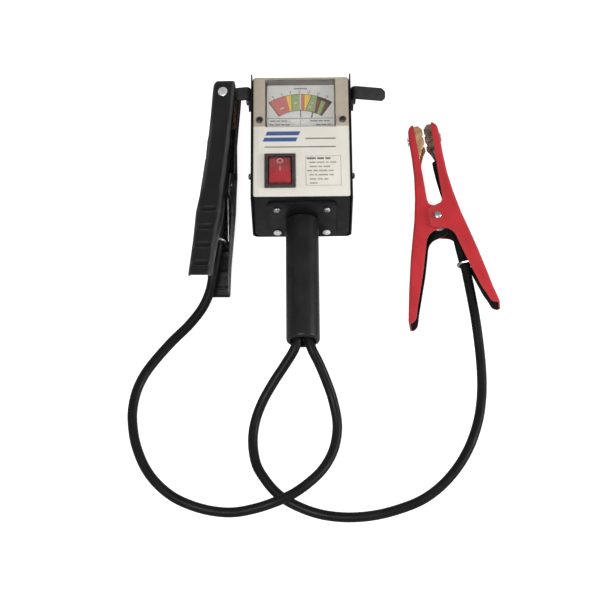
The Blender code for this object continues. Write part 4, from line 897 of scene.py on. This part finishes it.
def screws():
    """The four zinc screws of the handle's flange and the two dark ones beside the meter."""
    on_flange = Matrix.Rotation(radians(90.0), 4, "X")
    flange_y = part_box("handle_flange")[0][1] / MM - 0.3
    spins = {"top_left": 20.0, "top_right": 62.0, "low_left": 38.0, "low_right": 8.0}
    for label, spin in spins.items():
        node = f"flange_screw_{label}"
        low, high = (Vector(corner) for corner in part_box(node))
        place = Matrix.Translation(((low.x + high.x) / 2, flange_y * MM, (low.z + high.z) / 2))
        place = place @ on_flange
        # The lower row gets a whiter zinc: a painted reflection of the pale floor
        low_row = label.startswith("low")
        radius, zinc = (3.3, ZINC_PAINTED_GLARE) if low_row else (2.9, FINISHES["zinc"])
        cross_screw(f"{node}_head", node, place, radius, 2.4, spin, zinc)
    for label, spin in (("left", 32.0), ("right", 70.0)):
        node = f"meter_screw_{label}"
        low, high = (Vector(corner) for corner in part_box(node))
        place = Matrix.Translation(((low.x + high.x) / 2, (low.y + high.y) / 2, low.z))
        cross_screw(f"{node}_head", node, place, 2.9, 1.8, spin, FINISHES["dark_screw"])


def flat_print(name, outlines, level, material, thickness=0.03):
    """Printed shapes, a hair proud of the surface at the level."""
    bm = bmesh.new()
    for outline in outlines:
        plate(bm, [(x * MM, y * MM) for x, y in outline], (level - 0.02) * MM,
              (level + thickness) * MM)
    return from_bmesh(name, bm, material, "case", smooth=False)


def dashes(y, x0, x1, lengths, height, space=1.1):
    """A ruled row of dashes."""
    row, x = [], x0
    for length in lengths * 4:
        if x + length > x1:
            break
        row.append(rectangle(x, y - height / 2, x + length, y + height / 2))
        x += length + space
    return row


def frame_lines(x0, y0, x1, y1, width):
    return [rectangle(x0, y0, x1, y0 + width), rectangle(x0, y1 - width, x1, y1),
            rectangle(x0, y0 + width, x0 + width, y1 - width),
            rectangle(x1 - width, y0 + width, x1, y1 - width)]


def label_print(name, outlines, colour):
    flat_print(f"label_{name}", outlines, FACE_Z / MM, ink(f"{name}_ink", colour))


# Rows of dashes, in mm: (place along the face, start, end, lengths)
LABEL_ROWS = (
    (-25.0, 6.2, 31.4, [5.2, 6.4, 2.2]),
    (-28.9, 6.6, 28.6, [6.2, 3.0, 5.4]),
    (-32.7, 4.6, 29.6, [4.0, 3.4, 6.8]),
    (-36.6, 6.4, 29.2, [3.6, 1.8, 7.6]),
    (-40.5, 6.6, 27.2, [5.4, 4.2, 3.4]),
    (-44.2, 6.6, 17.2, [6.4]),
)
DIAL_ROWS = (
    (18.6, -25.8, -10.0, [4.6, 3.2, 5.0]),
    (15.0, -26.0, -7.0, [3.4, 4.8, 2.6]),
    (18.6, 7.6, 26.6, [6.2, 3.6, 5.0]),
    (15.0, 12.6, 27.0, [3.6, 4.2, 3.0]),
)


def face_prints():
    """Plain stripes, rules, a box and rows of dashes on the label."""
    stripes = [[(-29.6, 0.4), (-2.2, 0.4), (-0.6, 4.2), (-28.0, 4.2)],
               [(-31.9, -5.3), (-4.5, -5.3), (-2.9, -1.5), (-30.3, -1.5)]]
    label_print("stripes", stripes, (0.050, 0.105, 0.275))
    rules = [rectangle(3.6, -3.2, 28.3, -2.0), rectangle(-30.2, -11.0, 28.3, -9.9)]
    label_print("rules", rules, (0.20, 0.185, 0.165))
    label_print("box", frame_lines(3.4, -46.5, 32.4, -19.0, 0.35), (0.30, 0.26, 0.23))
    label_print("heading", dashes(-21.3, 4.4, 30.2, [7.4, 5.6, 4.2], 1.7), (0.17, 0.155, 0.14))
    rows = [dash for row in LABEL_ROWS for dash in dashes(*row, 1.25)]
    label_print("rows", rows, (0.34, 0.305, 0.27))


def on_scale(angle, radius):
    """A point on the dial, by degrees right of the middle and mm from the needle's axis."""
    return (DIAL_CENTRE.x / MM + radius * sin(radians(angle)),
            DIAL_CENTRE.y / MM + radius * cos(radians(angle)))


def sector(inner, outer, left, right, steps=8):
    """Part of the scale's band; left and right are each (angle inside, angle outside)."""
    low, high = [[on_scale(left[edge] + (right[edge] - left[edge]) * step / steps, radius)
                  for step in range(steps + 1)] for edge, radius in enumerate((inner, outer))]
    return list(reversed(high)) + low


def dial_print(name, outlines, colour, thickness):
    flat_print(f"dial_{name}", outlines, DIAL_Z / MM, ink(f"dial_{name}_ink", colour),
               thickness)


def dial_band():
    """The coloured fields of the scale, each with its spans in degrees."""
    band = (
        ("red", (0.585, 0.200, 0.180), ((-32.6, -32.6), (-15.5, -14.4)), ((1.0, 0.9), (6.3, 4.4))),
        ("yellow", (0.86, 0.62, 0.15), ((-15.5, -14.4), (-12.7, -8.9)), ((6.3, 4.4), (7.3, 11.5))),
        ("green", (0.35, 0.44, 0.215), ((-12.2, -8.4), (-0.8, -0.6)),
         ((7.8, 12.0), (21.0, 17.4)), ((25.2, 22.6), (30.3, 27.2))),
        ("maroon", (0.20, 0.095, 0.075), ((21.0, 17.4), (25.2, 22.6)),
         ((30.3, 27.2), (33.0, 33.0))),
    )
    for label, colour, *spans in band:
        outlines = [sector(SCALE_INNER, SCALE_OUTER, *span) for span in spans]
        dial_print(f"band_{label}", outlines, colour, 0.04)


def arc(inner, outer, start, end, steps=8):
    """A sector whose ends both point at the needle's axis."""
    return sector(inner, outer, (start, start), (end, end), steps)


def dial_prints():
    """Coloured band, its outline, ticks, numbers and ruled rows."""
    dial_band()
    inside, outside = SCALE_INNER - SCALE_LINE, SCALE_OUTER + SCALE_LINE
    lines = [arc(SCALE_OUTER, outside, *SCALE_SPAN, 32),
             arc(inside, SCALE_INNER, *SCALE_SPAN, 32),
             sector(inside, outside, (-34.2, -33.6), (-32.6, -32.6)),
             sector(inside, outside, (31.6, 32.4), (33.8, 33.6)),
             arc(SCALE_OUTER - 2.4, SCALE_OUTER, 17.6, 32.4),
             sector(SCALE_INNER, SCALE_OUTER, (-12.8, -9.0), (-12.0, -8.2)),
             sector(SCALE_INNER, SCALE_OUTER, (7.0, 11.2), (7.8, 12.0))]
    lines += [arc(outside, SCALE_OUTER + 1.9, angle - 0.25, angle + 0.25, 1)
              for angle in SCALE_MARKS.values()]
    lines.append([(8.2, 21.6), (9.2, 21.6), (10.4, 27.6), (9.4, 27.6)])
    lines.append(rectangle(-28.0, 20.95, 27.2, 21.35))
    dial_print("lines", lines, (0.085, 0.070, 0.062), 0.05)
    pale = [arc(39.0, 40.2, -7.4, -4.0, 2), arc(36.0, 37.0, 11.6, 14.2, 2),
            arc(40.0, 41.0, 13.0, 15.6, 2), arc(37.0, 37.9, -27.0, -21.0, 4)]
    dial_print("marks", pale, (0.72, 0.66, 0.52), 0.06)
    field = [(-6.0, 13.6), (11.5, 13.6), (11.5, 17.0), (6.6, 17.0), (6.6, 20.4), (-9.4, 20.4),
             (-9.4, 17.0), (-6.0, 17.0)]
    dial_print("field", [field], (0.92, 0.91, 0.87), 0.03)
    rows = [dash for row in DIAL_ROWS for dash in dashes(*row, 1.1, 0.7)]
    rows.append(rectangle(-6.0, 49.2, 5.2, 50.4))
    dial_print("rows", rows, (0.27, 0.26, 0.235), 0.04)
    for number, angle in SCALE_MARKS.items():
        numeral(f"dial_number_{number}", str(number), *on_scale(angle, SCALE_OUTER + 3.1), -angle)


def numeral(name, characters, x, y, turn):
    """A small printed number of the scale."""
    curve = bpy.data.curves.new(name, "FONT")
    curve.body = characters
    curve.size = NUMERAL_SIZE
    curve.align_x = "CENTER"
    curve.align_y = "CENTER"
    curve.extrude = 0.02 * MM
    mesh = mesh_of(curve)
    mesh.transform(Matrix.Translation(Vector((x, y, DIAL_Z / MM)) * MM)
                   @ Matrix.Rotation(radians(turn), 4, "Z"))
    add_piece(name, mesh, NUMBER_INK, "case")


def rocker_marks():
    """O and I printed on the rocker's top."""
    place = Matrix.Translation(SWITCH_AXIS) @ Matrix.Rotation(ROCKER_TILT, 4, "X")
    bm = bmesh.new()
    steps = 28
    rings = []
    for radius_x, radius_y in ((2.7, 2.3), (1.75, 1.35)):
        rings.append([(radius_x * cos(2 * pi * step / steps),
                       9.1 + radius_y * sin(2 * pi * step / steps)) for step in range(steps)])
    for step in range(steps):
        after = (step + 1) % steps
        quad = [rings[1][step], rings[0][step], rings[0][after], rings[1][after]]
        raised_patch(bm, quad, place)
    raised_patch(bm, rectangle(-0.55, 0.2, 0.55, 4.0), place)
    from_bmesh("rocker_marks", bm, ink("rocker_ink", (0.56, 0.24, 0.21), 0.35), "rocker",
               smooth=False)


def rocker_height(y):
    """Height of the rocker's dished top above its axis, in mm."""
    share = min(1.0, abs(y) / (ROCKER_LENGTH / 2))
    shoulder = 0.5 * (ROCKER_END + ROCKER_DISH) - 0.3
    if share < 0.5:
        return ROCKER_DISH + (shoulder - ROCKER_DISH) * share / 0.5
    return shoulder + (ROCKER_END - shoulder) * (share - 0.5) / 0.5


def raised_patch(bm, outline, place):
    """A thin patch that follows the rocker's top."""
    slab(bm, *[[place @ (Vector((x, y, rocker_height(y) + lift)) * MM) for x, y in outline]
               for lift in (-0.05, 0.05)])


def studio():
    """Pale floor, white surround and soft lights: one above the handle, one low on the right."""
    world = bpy.data.worlds.new("studio")
    bpy.context.scene.world = world
    world.use_nodes = True
    nodes, links = world.node_tree.nodes, world.node_tree.links
    background = nodes["Background"]
    background.inputs["Color"].default_value = (1.0, 1.0, 1.0, 1.0)
    path = nodes.new("ShaderNodeLightPath")
    level = nodes.new("ShaderNodeMapRange")
    level.inputs["To Min"].default_value = WORLD_LIGHT
    level.inputs["To Max"].default_value = 1.0
    links.new(path.outputs["Is Camera Ray"], level.inputs["Value"])
    links.new(level.outputs[0], background.inputs["Strength"])

    bm = bmesh.new()
    bmesh.ops.create_grid(bm, x_segments=1, y_segments=1, size=3.0)
    floor = linked("floor", mesh_from(bm, "floor"))
    floor.location.z = FLOOR_Z
    surface = Surface("floor_white", (FLOOR_GREY, FLOOR_GREY, FLOOR_GREY), 0.9)
    light_path = surface.node("LightPath")
    surface.set("Emission Color", (1.0, 1.0, 1.0, 1.0))
    surface.set("Emission Strength",
                surface.math("MULTIPLY", light_path.outputs["Is Camera Ray"], FLOOR_GLOW))
    floor.data.materials.append(surface.material)

    area_light("key", *KEY_LIGHT)
    area_light("side", *SIDE_LIGHT)


camera()
JACKET = cable_jacket()
cable("cable_red", "cord_red", -1, RED_ROUTE, RED_PIVOT, RED_TURN, RED_OPEN, JACKET)
cable("cable_black", "cord_black", 1, BLACK_ROUTE, BLACK_PIVOT, BLACK_TURN, BLACK_OPEN, JACKET)

# After the colour: rubbed wear, then the painted fold highlight, then the clamp's place
RED = dipped("dipped_red", (0.52, 0.028, 0.036), (0.40, 0.05, 0.05), (0.48, 0.05, 0.055),
             RED_PIVOT, RED_TURN)
BLACK = dipped("dipped_black", (0.0100, 0.0095, 0.0105), (0.030, 0.029, 0.029),
               (0.085, 0.083, 0.086), BLACK_PIVOT, BLACK_TURN)
CHANNEL_BLACK = dipped("dipped_channel", (0.0080, 0.0075, 0.0080), (0.020, 0.019, 0.019),
                       (0.016, 0.015, 0.016), RED_PIVOT, RED_TURN, 0.42, 0.58)
COPPER_BRIGHT = copper_plate("copper_bright", (1.00, 0.66, 0.36), (0.66, 0.36, 0.18))
# Darker copy of the jaw copper, painted shade for the cable arm's jaw
COPPER_SHADED = copper_plate("copper_shaded", (0.48, 0.30, 0.22), (0.13, 0.075, 0.060))
JAW_STEEL = plated("jaw_steel", (0.86, 0.86, 0.85), 0.24, 0.40, metal=0.55)
# Whiter zinc carrying a painted reflection, for the flange's lower screws
ZINC_PAINTED_GLARE = plated("zinc_painted_glare", (0.98, 0.98, 0.97), 0.18, 0.32, metal=0.20)
NUMBER_INK = ink("number_ink", (0.115, 0.105, 0.095))
FINISHES = {
    "face_label": face_label(),
    "case_black": wrinkle_black(),
    "dark_screw": simple("blackened", (0.06, 0.058, 0.055), (0.3, 400.0), (500.0, 0.28, 0.45),
                         (1400.0, 0.00005, 0.4), metallic=0.6),
    "zinc": plated("zinc", (0.72, 0.72, 0.70), 0.22, 0.42),
    "grip_foam": grip_sleeve(),
    "steel": plated("bare_steel", (0.55, 0.55, 0.55), 0.3, 0.5),
    "meter_black": moulded_black(),
    "dial": dial_card(),
    "clear": clear_window(),
    "magnet": plated("magnet", (0.25, 0.25, 0.26), 0.35, 0.5, 300.0),
    "brass": plated("brass", (0.72, 0.53, 0.22), 0.25, 0.42),
    "needle": needle_paint(),
    "copper": COPPER_BRIGHT,
    "rocker_red": rocker_red(),
    "ceramic": simple("fired_clay", (0.72, 0.69, 0.62), (0.08, 60.0), (150.0, 0.6, 0.8),
                      (600.0, 0.0002, 0.4), detail=5.0),
    "nichrome": plated("nichrome", (0.30, 0.28, 0.26), 0.4, 0.6),
    "cable_black": JACKET,
    "wire_red": wire_skin("wire_red", (0.45, 0.02, 0.02)),
    "clamp_red": RED,
    "clamp_black": BLACK,
}
# Rounding of the folded, pressed and moulded edges
EDGES = {
    "switch_rocker": 0.45 * MM,
    "parking_tab_left": 0.35 * MM,
    "parking_tab_right": 0.35 * MM,
    "handle_flange": 0.3 * MM,
}
for entry in frame["record"]["subparts"]:
    paint(NODES[entry["node"]], FINISHES[entry["material_slot"]])
    soften(entry["node"], EDGES.get(entry["node"], 0.0))
paint(NODES["meter_case"], meter_shell())
paint(NODES["switch_body"], moulded_black("bezel_black", (0.044, 0.034, 0.034)))
for side in ("left", "right"):
    paint(NODES[f"parking_tab_{side}"],
          moulded_black(f"tab_black_{side}", (0.024, 0.023, 0.023), 0.4, 0.55))

clamp_pieces("red", RED_PIVOT, RED_TURN, RED_OPEN, RED, CHANNEL_BLACK)
clamp_pieces("black", BLACK_PIVOT, BLACK_TURN, BLACK_OPEN, BLACK, CHANNEL_BLACK)
screws()
face_prints()
dial_prints()
rocker_marks()
studio()
bpy.context.scene.view_settings.view_transform = "Standard"
